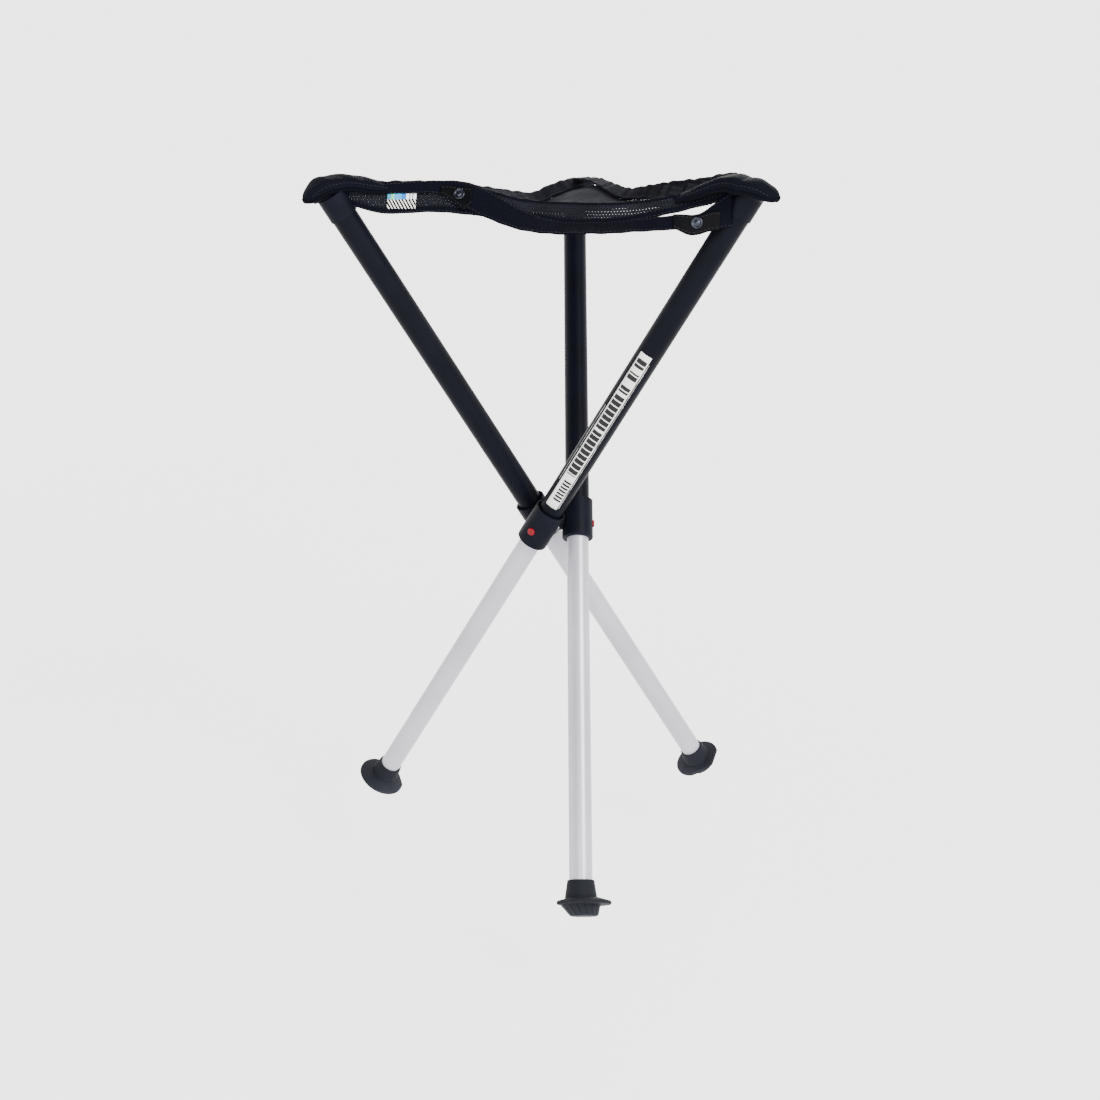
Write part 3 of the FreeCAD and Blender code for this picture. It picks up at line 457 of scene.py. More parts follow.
def stitch_shape(length, radius):
    """One stitch: a bead whose middle runs by minus the cosine and whose radius is the sine, to a
    power that blunts its ends."""
    bow = np.linspace(0, math.pi, STITCH_LENGTHWISE)[:, None]
    turn = np.arange(STITCH_ROUND)[None] * 2 * math.pi / STITCH_ROUND
    swell = np.sin(bow) ** STITCH_BLUNTING
    middle = -np.cos(bow) * length / 2
    shape = np.broadcast_arrays(
        middle, swell * np.cos(turn) * radius, swell * np.sin(turn) * radius
    )
    i = np.arange(STITCH_LENGTHWISE - 1)[:, None] * STITCH_ROUND
    j = np.arange(STITCH_ROUND)[None]
    after = (j + 1) % STITCH_ROUND
    faces = np.stack([i + STITCH_ROUND + j, i + STITCH_ROUND + after, i + after, i + j], -1)
    return np.stack(shape, -1).reshape(-1, 3), faces.reshape(-1, 4)


def stitches(sheaf, path, up, pitch=3.4, length=2.5, radius=0.34):
    """A row of stitches: a small long bead every few millimetres, sunk to half its thickness."""
    steps = distances(path)
    at = np.arange(pitch / 2, steps[-1], pitch)
    ahead = along_path(at + 0.5, steps, path)
    behind = along_path(at - 0.5, steps, path)
    along = unit(ahead - behind)
    side = unit(np.cross(along, along_path(at, steps, up)))
    lift = np.cross(side, along)
    shape, faces = stitch_shape(length, radius)
    axes = np.stack([along, side, lift], 1)
    sheaf.copies(shape, faces, along_path(at, steps, path), axes)


# Finishes


def colour(value):
    """A grey or an sRGB triple of 0 to 255 as linear light."""
    rgb = np.broadcast_to(np.asarray(value, float) / 255, (3,))
    line = np.where(rgb <= 0.04045, rgb / 12.92, ((rgb + 0.055) / 1.055) ** 2.4)
    return tuple(float(v) for v in line) + (1.0,)


class Finish:
    """A material built up by steps, each adding a few nodes to its shader."""

    def __init__(self, name, base, rough, metallic=0.0, **more):
        self.material = bpy.data.materials.new(name)
        self.material.use_nodes = True
        tree = self.material.node_tree
        self.nodes = tree.nodes
        self.links = tree.links
        self.shader = tree.nodes["Principled BSDF"]
        self.set("Base Color", colour(base))
        self.set("Roughness", rough)
        self.set("Metallic", metallic)
        for key, value in more.items():
            self.set(key.replace("_", " "), value)
        self.relief = None

    def set(self, socket, value):
        """Puts one even value on the shader's own socket."""
        self.shader.inputs[socket].default_value = value

    def node(self, kind, **settings):
        """A new node with its settings."""
        made = self.nodes.new("ShaderNode" + kind)
        for key, value in settings.items():
            setattr(made, key, value)
        return made

    def spread(self, flat=False, turn=(0, 0, 0), scale=(1, 1, 1)):
        """Where a pattern is read: on the object, turned and scaled, or on the flat map."""
        source = self.node("TexCoord").outputs["UV" if flat else "Object"]
        mapping = self.node("Mapping")
        mapping.inputs["Rotation"].default_value = turn
        mapping.inputs["Scale"].default_value = scale
        self.links.new(source, mapping.inputs["Vector"])
        return mapping.outputs["Vector"]

    def noise(self, where, scale, detail=3.0):
        """Cloudy noise, as many to the metre as its scale."""
        made = self.node("TexNoise")
        made.inputs["Scale"].default_value = scale
        made.inputs["Detail"].default_value = detail
        made.inputs["Roughness"].default_value = 0.55
        self.links.new(where, made.inputs["Vector"])
        return made.outputs["Fac"]

    def waves(self, where, scale, direction="X", distortion=0.0):
        """Bands across one direction, bent by a little noise."""
        made = self.node("TexWave", bands_direction=direction)
        made.inputs["Scale"].default_value = scale
        made.inputs["Distortion"].default_value = distortion
        made.inputs["Detail"].default_value = 2.0
        self.links.new(where, made.inputs["Vector"])
        return made.outputs["Fac"]

    def cells(self, where, scale):
        """Pebbles: the distance to the nearest of many scattered points."""
        made = self.node("TexVoronoi", feature="F1")
        made.inputs["Scale"].default_value = scale
        self.links.new(where, made.inputs["Vector"])
        return made.outputs["Distance"]

    def worked(self, how, first, second=None):
        """One step of arithmetic on a value, with a number or another value beside it."""
        made = self.node("Math", operation=how)
        self.links.new(first, made.inputs[0])
        if isinstance(second, float):
            made.inputs[1].default_value = second
        elif second is not None:
            self.links.new(second, made.inputs[1])
        return made.outputs[0]

    def ramp(self, value, stops, held=False):
        """Turns a value to a colour through stops given as (place, colour). Where the colours are
        held, each lasts to the next place, which gives hard-edged stripes."""
        made = self.node("ValToRGB")
        if held:
            made.color_ramp.interpolation = "CONSTANT"
        strip = made.color_ramp.elements
        for at, (where, shade) in enumerate(stops):
            stop = strip[at] if at < 2 else strip.new(where)
            stop.position = where
            stop.color = colour(shade)
        self.links.new(value, made.inputs["Fac"])
        return made.outputs["Color"]

    def split(self, where):
        """The three parts of a place."""
        made = self.node("SeparateXYZ")
        self.links.new(where, made.inputs["Vector"])
        return made.outputs["X"], made.outputs["Y"], made.outputs["Z"]

    def spanned(self, value, first, last, low, high, **settings):
        """Runs from low to high while a value runs from first to last."""
        made = self.node("MapRange", **settings)
        made.inputs["From Min"].default_value = first
        made.inputs["From Max"].default_value = last
        made.inputs["To Min"].default_value = low
        made.inputs["To Max"].default_value = high
        self.links.new(value, made.inputs["Value"])
        return made.outputs["Result"]

    def flat_colour(self, value):
        """One colour, for mixing."""
        made = self.node("RGB")
        made.outputs[0].default_value = colour(value)
        return made.outputs[0]

    def mix(self, factor, first, second):
        """The first colour where the factor is zero and the second where it is one."""
        made = self.node("Mix", data_type="RGBA")
        self.links.new(factor, made.inputs[0])
        self.links.new(first, made.inputs[6])
        self.links.new(second, made.inputs[7])
        return made.outputs[2]

    def paint(self, value, stops):
        """Lets the base colour run through stops with a value."""
        self.links.new(self.ramp(value, stops), self.shader.inputs["Base Color"])

    def polish(self, value, low, high):
        """Lets the roughness run from low to high with a value."""
        self.links.new(self.spanned(value, 0.0, 1.0, low, high), self.shader.inputs["Roughness"])

    def raise_by(self, value, height, strength=1.0):
        """Adds relief, on top of the relief laid before it."""
        made = self.node("Bump")
        made.inputs["Strength"].default_value = strength
        made.inputs["Distance"].default_value = height
        self.links.new(value, made.inputs["Height"])
        if self.relief is not None:
            self.links.new(self.relief, made.inputs["Normal"])
        self.relief = made.outputs["Normal"]
        self.links.new(self.relief, self.shader.inputs["Normal"])


def turned_to_leg(leg):
    """The turn that brings a leg's own directions onto X, Y and Z of a pattern."""
    return tuple(Matrix(leg_axes(leg).tolist()).to_euler())


def black_tube(leg):
    """Black anodised tube: satin, with fine lines drawn along it and faint cloudy wear."""
    made = Finish("black_tube_%d" % leg, 8, 0.42, 0.0, Specular_IOR_Level=0.04)
    where = made.spread(turn=turned_to_leg(leg), scale=(1, 1, 0.03))
    lines = made.noise(where, 900, 3)
    cloud = made.noise(made.spread(), 22, 4)
    made.paint(cloud, ((0.3, (5, 6, 11)), (0.75, (9, 10, 18))))
    made.polish(lines, 0.36, 0.5)
    made.raise_by(lines, 0.00002, 0.4)
    return made.material


def silver_tube(leg):
    """Clear anodised tube: matt and pale, with drawn lines and faint rub marks along it."""
    made = Finish("silver_tube_%d" % leg, 150, 0.42, 0.45, Specular_IOR_Level=0.3)
    where = made.spread(turn=turned_to_leg(leg), scale=(1, 1, 0.02))
    lines = made.noise(where, 700, 4)
    cloud = made.noise(made.spread(), 14, 3)
    made.paint(cloud, ((0.3, (150, 149, 157)), (0.7, (162, 161, 169))))
    made.polish(lines, 0.32, 0.48)
    made.raise_by(lines, 0.000025, 0.45)
    return made.material


def moulded_nylon():
    """Black moulded nylon: a fine spark-eroded grain with low gloss."""
    made = Finish("moulded_nylon", 8, 0.5, Specular_IOR_Level=0.04)
    where = made.spread()
    cloud = made.noise(where, 60, 4)
    grain = made.noise(where, 1600, 2)
    made.paint(cloud, ((0.3, (7, 8, 14)), (0.75, (12, 13, 22))))
    made.polish(cloud, 0.42, 0.56)
    made.raise_by(grain, 0.00006, 0.45)
    return made.material


# Dust reaches this far up the feet, in metres
DUST_HEIGHT = 0.02


def tread_rubber():
    """Black rubber: dull, a little dusty towards the ground, with a soft pebbled skin."""
    made = Finish("tread_rubber", 12, 0.75, Specular_IOR_Level=0.1)
    where = made.spread()
    cloud = made.noise(where, 90, 5)
    height = made.split(where)[2]
    dust = made.worked("MULTIPLY", cloud, made.spanned(height, 0.0, DUST_HEIGHT, 0.55, 0.0))
    made.paint(dust, ((0.0, (17, 18, 24)), (0.25, (33, 34, 40))))
    made.polish(cloud, 0.62, 0.85)
    made.raise_by(made.noise(where, 900, 2), 0.00012, 0.5)
    return made.material


def red_button():
    """Red moulded plastic with a faint mottle."""
    made = Finish("red_button", (110, 4, 14), 0.34, Specular_IOR_Level=0.15)
    cloud = made.noise(made.spread(), 500, 3)
    made.paint(cloud, ((0.3, (84, 2, 10)), (0.75, (118, 5, 18))))
    made.polish(cloud, 0.28, 0.42)
    made.raise_by(cloud, 0.00003, 0.3)
    return made.material


def bare_metal(name, dark, light, rough):
    """Turned or rolled metal: cloudy handling marks over a fine grain."""
    made = Finish(name, light, rough, 1.0)
    where = made.spread()
    cloud = made.noise(where, 300, 4)
    made.paint(cloud, ((0.3, dark), (0.7, light)))
    made.polish(cloud, rough - 0.08, rough + 0.1)
    made.raise_by(made.noise(where, 2400, 2), 0.00002, 0.4)
    return made.material


def webbing(name, dark, light, ribs):
    """Black nylon webbing: ribs across it, yarns along it, and a slight sheen."""
    made = Finish(name, 8, 0.8, Specular_IOR_Level=0.02, Sheen_Weight=0.006)
    where = made.spread(flat=True)
    across = made.waves(where, 300 * ribs, "X", 0.6)
    yarns = made.waves(where, 340 * ribs, "Y", 1.2)
    weave = made.worked("MULTIPLY", across, yarns)
    cloud = made.noise(made.spread(), 55, 3)
    made.paint(weave, ((0.0, dark), (0.9, light)))
    made.polish(cloud, 0.7, 0.85)
    made.raise_by(across, 0.00018, 0.7)
    made.raise_by(yarns, 0.0001, 0.6)
    return made.material


def pack_cloth():
    """Coated pack cloth of the corners: a fine plain weave with soft creases."""
    made = Finish("pack_cloth", 8, 0.7, Specular_IOR_Level=0.02, Sheen_Weight=0.006)
    where = made.spread(flat=True)
    warp = made.waves(where, 420, "X", 0.8)
    weft = made.waves(where, 420, "Y", 0.8)
    weave = made.worked("MULTIPLY", warp, weft)
    cloud = made.noise(made.spread(), 40, 5)
    tone = made.worked("MULTIPLY", weave, cloud)
    made.paint(tone, ((0.0, (4, 5, 9)), (0.6, (14, 15, 25))))
    made.polish(cloud, 0.6, 0.75)
    made.raise_by(cloud, 0.0009, 0.5)
    made.raise_by(weave, 0.00014, 0.7)
    return made.material


def net_yarn():
    """The net's spun yarn: charcoal with a blue cast, finely twisted."""
    made = Finish("net_yarn", 10, 0.75, Specular_IOR_Level=0.03, Sheen_Weight=0.006)
    where = made.spread()
    fine = made.noise(where, 1500, 3)
    cloud = made.noise(where, 30, 3)
    tone = made.worked("MULTIPLY", fine, cloud)
    made.paint(tone, ((0.1, (9, 9, 12)), (0.45, (27, 28, 35))))
    made.polish(fine, 0.55, 0.8)
    made.raise_by(fine, 0.00012, 0.6)
    return made.material


def thread():
    """The seams' black thread, finely mottled."""
    made = Finish("thread", 16, 0.6, Specular_IOR_Level=0.15)
    fine = made.noise(made.spread(), 3000, 2)
    made.paint(fine, ((0.3, (9, 9, 12)), (0.7, (22, 23, 29))))
    made.raise_by(fine, 0.00005, 0.6)
    return made.material


def tab_hide():
    """Smooth black coated cloth of the tabs, with a pebbled skin."""
    made = Finish("tab_hide", 4, 0.5, Specular_IOR_Level=0.03)
    where = made.spread()
    pebbles = made.cells(where, 900)
    cloud = made.noise(where, 80, 4)
    made.paint(cloud, ((0.3, (3, 3, 5)), (0.75, (6, 6, 8))))
    made.polish(cloud, 0.42, 0.56)
    made.raise_by(pebbles, 0.00012, 0.6)
    return made.material


# The woven tag's length, and the places of its parts across it, in metres
TAG_LENGTH = 0.026
TAG_BLOCKS_BELOW = -0.0011
TAG_EDGE_BELOW = -0.0064


def woven_tag():
    """A woven tag: plain blocks of blue, green and white along it, beside slanting white dashes on
    black and a dark edge."""
    made = Finish("woven_tag", 200, 0.7, Specular_IOR_Level=0.1)
    where = made.spread(flat=True)
    along, across, _ = made.split(where)
    part = made.worked("MULTIPLY", along, 1 / TAG_LENGTH)
    dark = (40, 44, 60)
    white = (216, 222, 226)
    stops = (
        (0.0, (46, 122, 150)),
        (0.14, (96, 176, 120)),
        (0.24, (42, 130, 190)),
        (0.5, (30, 96, 160)),
        (0.66, white),
        (0.76, dark),
        (0.8, white),
        (0.86, dark),
        (0.9, white),
    )
    blocks = made.ramp(part, stops, held=True)
    slant = made.worked("SUBTRACT", made.worked("MULTIPLY", across, 0.6), along)
    dash = made.worked("FRACT", made.worked("MULTIPLY", slant, 330.0))
    dashes = made.ramp(dash, ((0.0, (14, 14, 18)), (0.62, (214, 212, 206))), held=True)
    edge = made.ramp(part, ((0.0, (50, 18, 26)), (0.5, (20, 24, 52))), held=True)
    zones = made.mix(made.worked("LESS_THAN", across, TAG_BLOCKS_BELOW), dashes, blocks)
    zones = made.mix(made.worked("LESS_THAN", across, TAG_EDGE_BELOW), zones, edge)
    made.links.new(zones, made.shader.inputs["Base Color"])
    weave = made.worked("MULTIPLY", made.waves(where, 500, "X"), made.waves(where, 600, "Y"))
    made.raise_by(weave, 0.00012, 0.6)
    return made.material


# The strip on the third tube, in millimetres up the tube and degrees round it
STRIP_LEG = 3
STRIP_HEIGHTS = (31.2, 213.4)
STRIP_ANGLES = (-21.0, 40.0)
# Where the bars and the blocks stand along the strip, as shares of its length
BARS = ((0.0, 0), (0.045, 255), (0.185, 0))
BLOCKS = (
    (0.0, 0),
    (0.215, 255),
    (0.51, 0),
    (0.525, 255),
    (0.74, 0),
    (0.76, 255),
    (0.8, 0),
    (0.84, 255),
    (0.885, 0),
    (0.915, 255),
    (0.97, 0),
)
# The same across it, as shares of its width
BAR_HEIGHT = ((0.0, 0), (0.3, 255), (0.93, 0))
BLOCK_HEIGHT = ((0.0, 0), (0.1, 255), (0.9, 0))


def strip_film():
    """The white strip on a tube: fine bars at its lower end, then rows of plain dark blocks of
    different lengths."""
    made = Finish("strip_film", 235, 0.4, Specular_IOR_Level=0.2)
    length = (STRIP_HEIGHTS[1] - STRIP_HEIGHTS[0]) / 1000
    width = math.radians(STRIP_ANGLES[1] - STRIP_ANGLES[0]) * TUBE_RADIUS / 1000
    along, across, _ = made.split(made.spread(flat=True))
    along = made.worked("MULTIPLY", along, 1 / length)
    across = made.worked("MULTIPLY", across, 1 / width)
    dark = []
    # How many marks to the strip's length, the gap before each, and where they stand
    kinds = ((50.0, 0.36, BARS, BAR_HEIGHT), (31.0, 0.18, BLOCKS, BLOCK_HEIGHT))
    for count, gap, places, heights in kinds:
        mark = made.worked("FRACT", made.worked("MULTIPLY", along, count))
        mark = made.worked("GREATER_THAN", mark, gap)
        mark = made.worked("MULTIPLY", mark, made.ramp(along, places, held=True))
        dark.append(made.worked("MULTIPLY", mark, made.ramp(across, heights, held=True)))
    marks = made.worked("ADD", dark[0], dark[1])
    white = made.flat_colour((196, 196, 194))
    black = made.flat_colour((8, 8, 10))
    made.links.new(made.mix(marks, white, black), made.shader.inputs["Base Color"])
    made.polish(made.noise(made.spread(), 200, 3), 0.32, 0.46)
    return made.material


def pinstripe():
    """Thin pale printed lines beside the strip."""
    made = Finish("pinstripe", 170, 0.5, Specular_IOR_Level=0.1)
    cloud = made.noise(made.spread(), 160, 4)
    made.paint(cloud, ((0.35, 96), (0.6, 190)))
    made.polish(cloud, 0.4, 0.6)
    return made.material


def dress_solids():
    """Gives every solid of the frame its finish, and returns the cloth's, which the hoods share."""
    nylon = moulded_nylon()
    zinc = bare_metal("zinc_steel", (150, 152, 156), (196, 198, 200), 0.34)
    cloth = pack_cloth()
    finishes = {
        "sleeve": nylon,
        "tube_cap": nylon,
        "guide_bush": nylon,
        "foot": tread_rubber(),
        "button": red_button(),
        "lock_spring": bare_metal("spring_steel", (120, 122, 126), (170, 172, 176), 0.32),
        "pivot_screw": zinc,
        "pivot_washer": zinc,
        "hub_spider": bare_metal("cast_hub", (128, 130, 134), (165, 167, 170), 0.44),
    }
    for name, node in nodes.items():
        stem = name.rstrip("0123456789").rstrip("_")
        if stem == "outer_tube":
            finish = black_tube(int(name[-1]))
        elif stem == "inner_tube":
            finish = silver_tube(int(name[-1]))
        else:
            finish = finishes.get(stem, cloth)
        node.data.materials.clear()
        node.data.materials.append(finish)
    return cloth


# Net

NET_PITCH = 2.8
# Points in one ring of a cell, and in its three rings
RING = 12
CELL = 3 * RING
# Radius of a hole, as a share of the pitch
HOLE = 0.05
FLAP_HOLE = 0.022
STRETCHED_HOLE = 0.085
# How thick the yarn is between its knots, and how much thicker at them, as shares of the mesh's
YARN = 0.75
KNOT = 0.4
# The seat's net: its depth, how far it may pass the crease, the share of a rear binding's width
# where it starts, and how far it keeps from the corners
SEAT_DEPTH = 330.0
CREASE_LAP = 0.2
BINDING_LAP = 0.55
CORNER_ROOM = 30.0
# The flap's net: its greatest depth, its top row, the shares of the way where it starts and ends,
# how the leaning tube moves the start, and the part of the flap's height that it covers
FLAP_DEPTH = 40.0
FLAP_TOP = 1.2
FLAP_START = 0.04
FLAP_END = 0.945
TUBE_SLANT = 0.0012
FLAP_PART = 0.93
# It is stretched between these shares of the way, and the stretch comes and goes over a ninth.
# It starts from this much at the crease, is held to one, and loses this much down the flap.
STRETCH_START = 0.58
STRETCH_END = 0.93
STRETCH_RUN = 9
STRETCH_TOP = 1.4
STRETCH_LOSS = 1.5
# The flap counts as this high at least, and its net lies this share of its thickness before it
LEAST_FLAP = 3.0
FLAP_LIFT = 0.75
# A key tells the cells' corners apart: its steps to the millimetre, how far apart the keys of two
# columns are, and a factor that tells an edge from the same one the other way round
KEY_STEPS = 40
KEY_STRIDE = 1000003
KEY_TURN = 7


def net_cells(spots, hole):
    """Rings of yarn round the net's holes. A ring's plan is a hexagon outside and a circle inside;
    it is thickest at the hexagon's corners and tapers to an edge round the hole. Returns plan
    points and heights as (cells, 3 rings, 12)."""
    turn = np.arange(RING) * 2 * math.pi / RING
    knot = np.tile([1.0, 0.0], RING // 2)
    hexagon = NET_PITCH / 2 / np.where(knot > 0, math.cos(math.pi / 6), 1.0)
    around = np.stack([np.sin(turn), np.cos(turn)], -1)
    inner = np.broadcast_to((hole * NET_PITCH)[:, None], (len(spots), RING))
    outer = np.broadcast_to(hexagon, inner.shape)
    radii = np.stack([outer, inner, outer], 1)
    thick = MESH_THICKNESS / 2 * (YARN + KNOT * knot)
    heights = np.stack([thick, np.zeros(RING), -thick])
    plan = spots[:, None, None, :] + radii[..., None] * around
    return plan, np.broadcast_to(heights[None], plan.shape[:3])


def honeycomb(length, width):
    """Middles of the net's cells in rows set half a cell aside from one another."""
    rise = NET_PITCH * math.sqrt(3) / 2
    rows = np.arange(int(width / rise) + 1)
    columns = np.arange(int(length / NET_PITCH) + 1)
    x = columns[None] * NET_PITCH + (rows[:, None] % 2) * NET_PITCH / 2
    y = np.broadcast_to(rows[:, None] * rise, x.shape)
    return np.stack([x, y], -1).reshape(-1, 2)


def net_sheaf(plan, points):
    """Faces of the rings, and walls where the net ends so that it is closed."""
    base = (np.arange(len(points)) * CELL)[:, None, None]
    ring = np.arange(2)[None, :, None] * RING
    k = np.arange(RING)[None, None]
    after = (k + 1) % RING
    here = base + ring
    faces = [here + k, here + after, here + RING + after, here + RING + k]
    faces = np.stack(faces, -1).reshape(-1, 4)
    # A neighbour shares an edge of a hexagon where it has the same one the other way round
    keys = np.round(plan[:, 0] * KEY_STEPS).astype(np.int64)
    code = keys[..., 0] * KEY_STRIDE + keys[..., 1]
    ahead = np.roll(code, -1, axis=1)
    lone = ~np.isin(code * KEY_TURN + ahead, ahead * KEY_TURN + code)
    cell, at = np.nonzero(lone)
    upper = cell * CELL
    lower = upper + 2 * RING
    following = (at + 1) % RING
    walls = np.stack([upper + following, upper + at, lower + at, lower + following], -1)
    faces = np.concatenate([faces, walls])
    flat = np.broadcast_to(plan, points.shape[:3] + (2,)).reshape(-1, 2)
    sheaf = Sheaf()
    sheaf.add(points, faces, flat[faces])
    return sheaf


def seat_net(material):
    """The stretched net in three pieces, one to each corner."""
    spots = honeycomb(crease.length, SEAT_DEPTH)
    along = crease.along[:2]
    inward = crease.inward[:2]
    middles = crease.start[:2] + spots[:, :1] * along + spots[:, 1:] * inward
    x, y = middles[:, 0], middles[:, 1]
    keep = crease.place(x, y)[1] > -CREASE_LAP
    for edge in (left_edge, right_edge):
        share, inside = edge.place(x, y)
        covered = WEBBING_WIDTH * np.cos(np.radians(smooth(edge.turns, share)))
        keep &= inside > covered * BINDING_LAP
    for leg in LEGS:
        keep &= np.hypot(x - corner(leg)[0], y - corner(leg)[1]) > CORNER_ROOM
    ways = np.array([unit(corner(leg)[:2]) for leg in LEGS])
    nearest = np.argmax(middles @ ways.T, axis=1) + 1
    pieces = []
    for leg in LEGS:
        cells = spots[keep & (nearest == leg)]
        holes = np.full(len(cells), HOLE)
        plan, heights = net_cells(cells, holes)
        level = crease.start[:2] + plan[..., :1] * along + plan[..., 1:] * inward
        z = cloth_height(level[..., 0], level[..., 1]) + MESH_THICKNESS / 2 + heights
        sheaf = net_sheaf(plan, np.concatenate([level, z[..., None]], -1))
        replaces = ("seat_panel",) if leg == 1 else ()
        name = "seat_net_%d" % leg
        piece = place(sheaf, name, material, replaces=replaces)
        pieces.append((piece, cells, holes))
    return pieces


def flap_height(share):
    """How far the flap hangs from the crease."""
    return smooth(FRONT_EDGE, share, 2) - smooth(CREASE_DROPS, share)


def flap_net(material):
    """The net of the flap that hangs from the crease, in a left and a right piece. Its holes are
    pulled open where it is stretched most."""
    spots = honeycomb(crease.length, FLAP_DEPTH) + [0.0, FLAP_TOP]
    share = spots[:, 0] / crease.length
    height = flap_height(share)
    keep = (share > FLAP_START + TUBE_SLANT * spots[:, 1]) & (share < FLAP_END)
    keep &= spots[:, 1] < height * FLAP_PART
    stretched = ease((share - STRETCH_START) * STRETCH_RUN) * ease((STRETCH_END - share) * STRETCH_RUN)
    stretched = stretched * ease(STRETCH_TOP - STRETCH_LOSS * spots[:, 1] / height)
    pieces = []
    for leg, side in ((2, share < 0.5), (3, share >= 0.5)):
        cells = spots[keep & side]
        holes = FLAP_HOLE + (STRETCHED_HOLE - FLAP_HOLE) * stretched[keep & side]
        plan, heights = net_cells(cells, holes)
        at = plan[..., 0] / crease.length
        points = flap_spot(at, plan[..., 1] / np.maximum(flap_height(at), LEAST_FLAP))
        points = points - crease.inward * (MESH_THICKNESS * FLAP_LIFT + heights)[..., None]
        replaces = ("seat_flap",) if leg == 2 else ()
        name = "flap_net_" + SIDES[leg]
        piece = place(net_sheaf(plan, points), name, material, replaces=replaces)
        pieces.append((piece, cells, holes))
    return pieces


# Bindings

# Each half of a band: the leg it leads to, and the shares of the way where it starts and ends
LEFT_HALVES = ((2, 0.06, 0.5), (1, 0.5, 0.985))
RIGHT_HALVES = ((1, 0.015, 0.5), (3, 0.5, 0.95))
BINDING_HALVES = ((2, 0.066, 0.5), (3, 0.5, 0.95))
STRAP_HALVES = ((2, 0.118, 0.5), (3, 0.5, 0.96))
# Waves along the bands, as height, rate and start
REAR_RIPPLE = ((0.35, 95, 0), (0.25, 151, 1.3))
FRONT_RIPPLE = ((0.3, 110, 0),)
STRAP_RIPPLE = ((0.25, 130, 0), (0.2, 61, 0.7))
BAND_ROWS = 90
STRAP_ROWS = 110
# Where the two seams of each band lie: over the middle of a rear binding, and as parts of half the
# width of the others. Stitches sink in to this share of the thickness.
REAR_SEAMS = (-5.4, 5.2)
FRONT_SEAMS = (-0.72, 0.72)
STRAP_SEAMS = (-0.86, 0.86)
STITCH_LEVEL = 0.49
FOLD_RADIUS = 1.35
FOLD_INSET = 0.7
# A black cord along the crease, which stands in for the shade in the seat's fold there: its radius,
# and how far it lies before and above the crease
SHADE_CORD_RADIUS = 1.25
SHADE_CORD_OUT = 0.6
SHADE_CORD_RISE = 0.5
BINDING_HEIGHT = 5.4
# How far the front binding's middle lies before the flap
BINDING_LIFT = 1.2


def ripple(share, waves):
    """Small waves along a band: heights times the sine of a rate times the share, plus a start."""
    return sum(height * np.sin(share * rate + start) for height, rate, start in waves)


def rear_binding(name, edge, halves, node, cloth, seam):
    """The webbing folded over a rear edge: a flat outline carried along the curved edge and turned
    down about it by the edge's own angle, with a round fold along its outside."""
    for which, (leg, first, last) in enumerate(halves):
        share = np.linspace(first, last, BAND_ROWS)
        drop = smooth(edge.drops, share)
        turn = np.radians(smooth(edge.turns, share))
        inward = edge.inward - edge.along * (edge.inset * 4 * (1 - 2 * share) / edge.length)[:, None]
        inward = unit(inward)
        across = inward * np.cos(turn)[:, None] - UP * np.sin(turn)[:, None]
        through = inward * np.sin(turn)[:, None] + UP * np.cos(turn)[:, None]
        path = edge.curved(share, 0.0, drop - MESH_THICKNESS / 2 - ripple(share, REAR_RIPPLE))
        path = path + across * (WEBBING_WIDTH / 2)
        sheaf = Sheaf()
        band(sheaf, path, across * (WEBBING_WIDTH / 2), through * (WEBBING_THICKNESS / 2), count=24)
        label = "%s_%d" % (name, leg)
        replaces = (node,) if which == 0 else ()
        place(sheaf, label, cloth, replaces=replaces)
        lines = Sheaf()
        for offset in REAR_SEAMS:
            for side in (1, -1):
                row = path + across * offset + through * (side * WEBBING_THICKNESS * STITCH_LEVEL)
                stitches(lines, row, through * side)
        place(lines, label + "_stitches", seam)
        edging = Sheaf()
        outside = path - across * (WEBBING_WIDTH / 2 - FOLD_INSET)
        roll(edging, outside, FOLD_RADIUS, count=12)
        place(edging, label + "_fold", cloth)


def front_binding(cloth, seam):
    """The webbing along the flap's lower edge, and a black cord along the crease that stands in for
    the shade in the fold.
    """
    for leg, first, last in BINDING_HALVES:
        side = SIDES[leg]
        share = np.linspace(first, last, BAND_ROWS)
        upper = flap_spot(share, 1.0 - BINDING_HEIGHT / flap_height(share))
        lower = flap_spot(share, 1.0)
        across = (lower - upper) / 2
        slope = np.gradient(upper + lower, axis=0)
        through = unit(np.cross(slope, across))
        through = through * np.sign(through @ -crease.inward)[:, None]
        lift = BINDING_LIFT + ripple(share, FRONT_RIPPLE)
        path = (upper + lower) / 2 + through * lift[:, None]
        sheaf = Sheaf()
        band(sheaf, path, across, through * (WEBBING_THICKNESS / 2))
        replaces = ("hem_front",) if leg == 2 else ()
        place(sheaf, "front_binding_" + side, cloth, replaces=replaces)
        lines = Sheaf()
        for part in FRONT_SEAMS:
            row = path + across * part + through * (WEBBING_THICKNESS * STITCH_LEVEL)
            stitches(lines, row, through)
        place(lines, "front_binding_stitches_" + side, seam)
        # A black cord stands in for the shade that falls in the seat's fold at the crease
        cord = Sheaf()
        top = crease.curved(share, -SHADE_CORD_OUT, smooth(CREASE_DROPS, share) - SHADE_CORD_RISE)
        roll(cord, top, SHADE_CORD_RADIUS)
        place(cord, "crease_shade_cord_" + side, cloth)


# Strap, tabs and press studs

STRAP_THICKNESS = 1.6
STRAP_LIFT = 0.35
# The share of the way over which the strap's direction is taken
STRAP_STEP = 0.004
TAB_THICKNESS = 1.3
# The tabs' backs lie this far off the strap's back
TAB_LIFT = STRAP_THICKNESS + 0.65
TAB_ROWS = 40
TAB_COLUMNS = 14
# How far a tab's side rims stand out, the flat distance once round it, and where its seams run as
# parts of its width
TAB_RIM = 0.325
TAB_ROUND = 40.0
TAB_SEAMS = (0.12, 0.88)
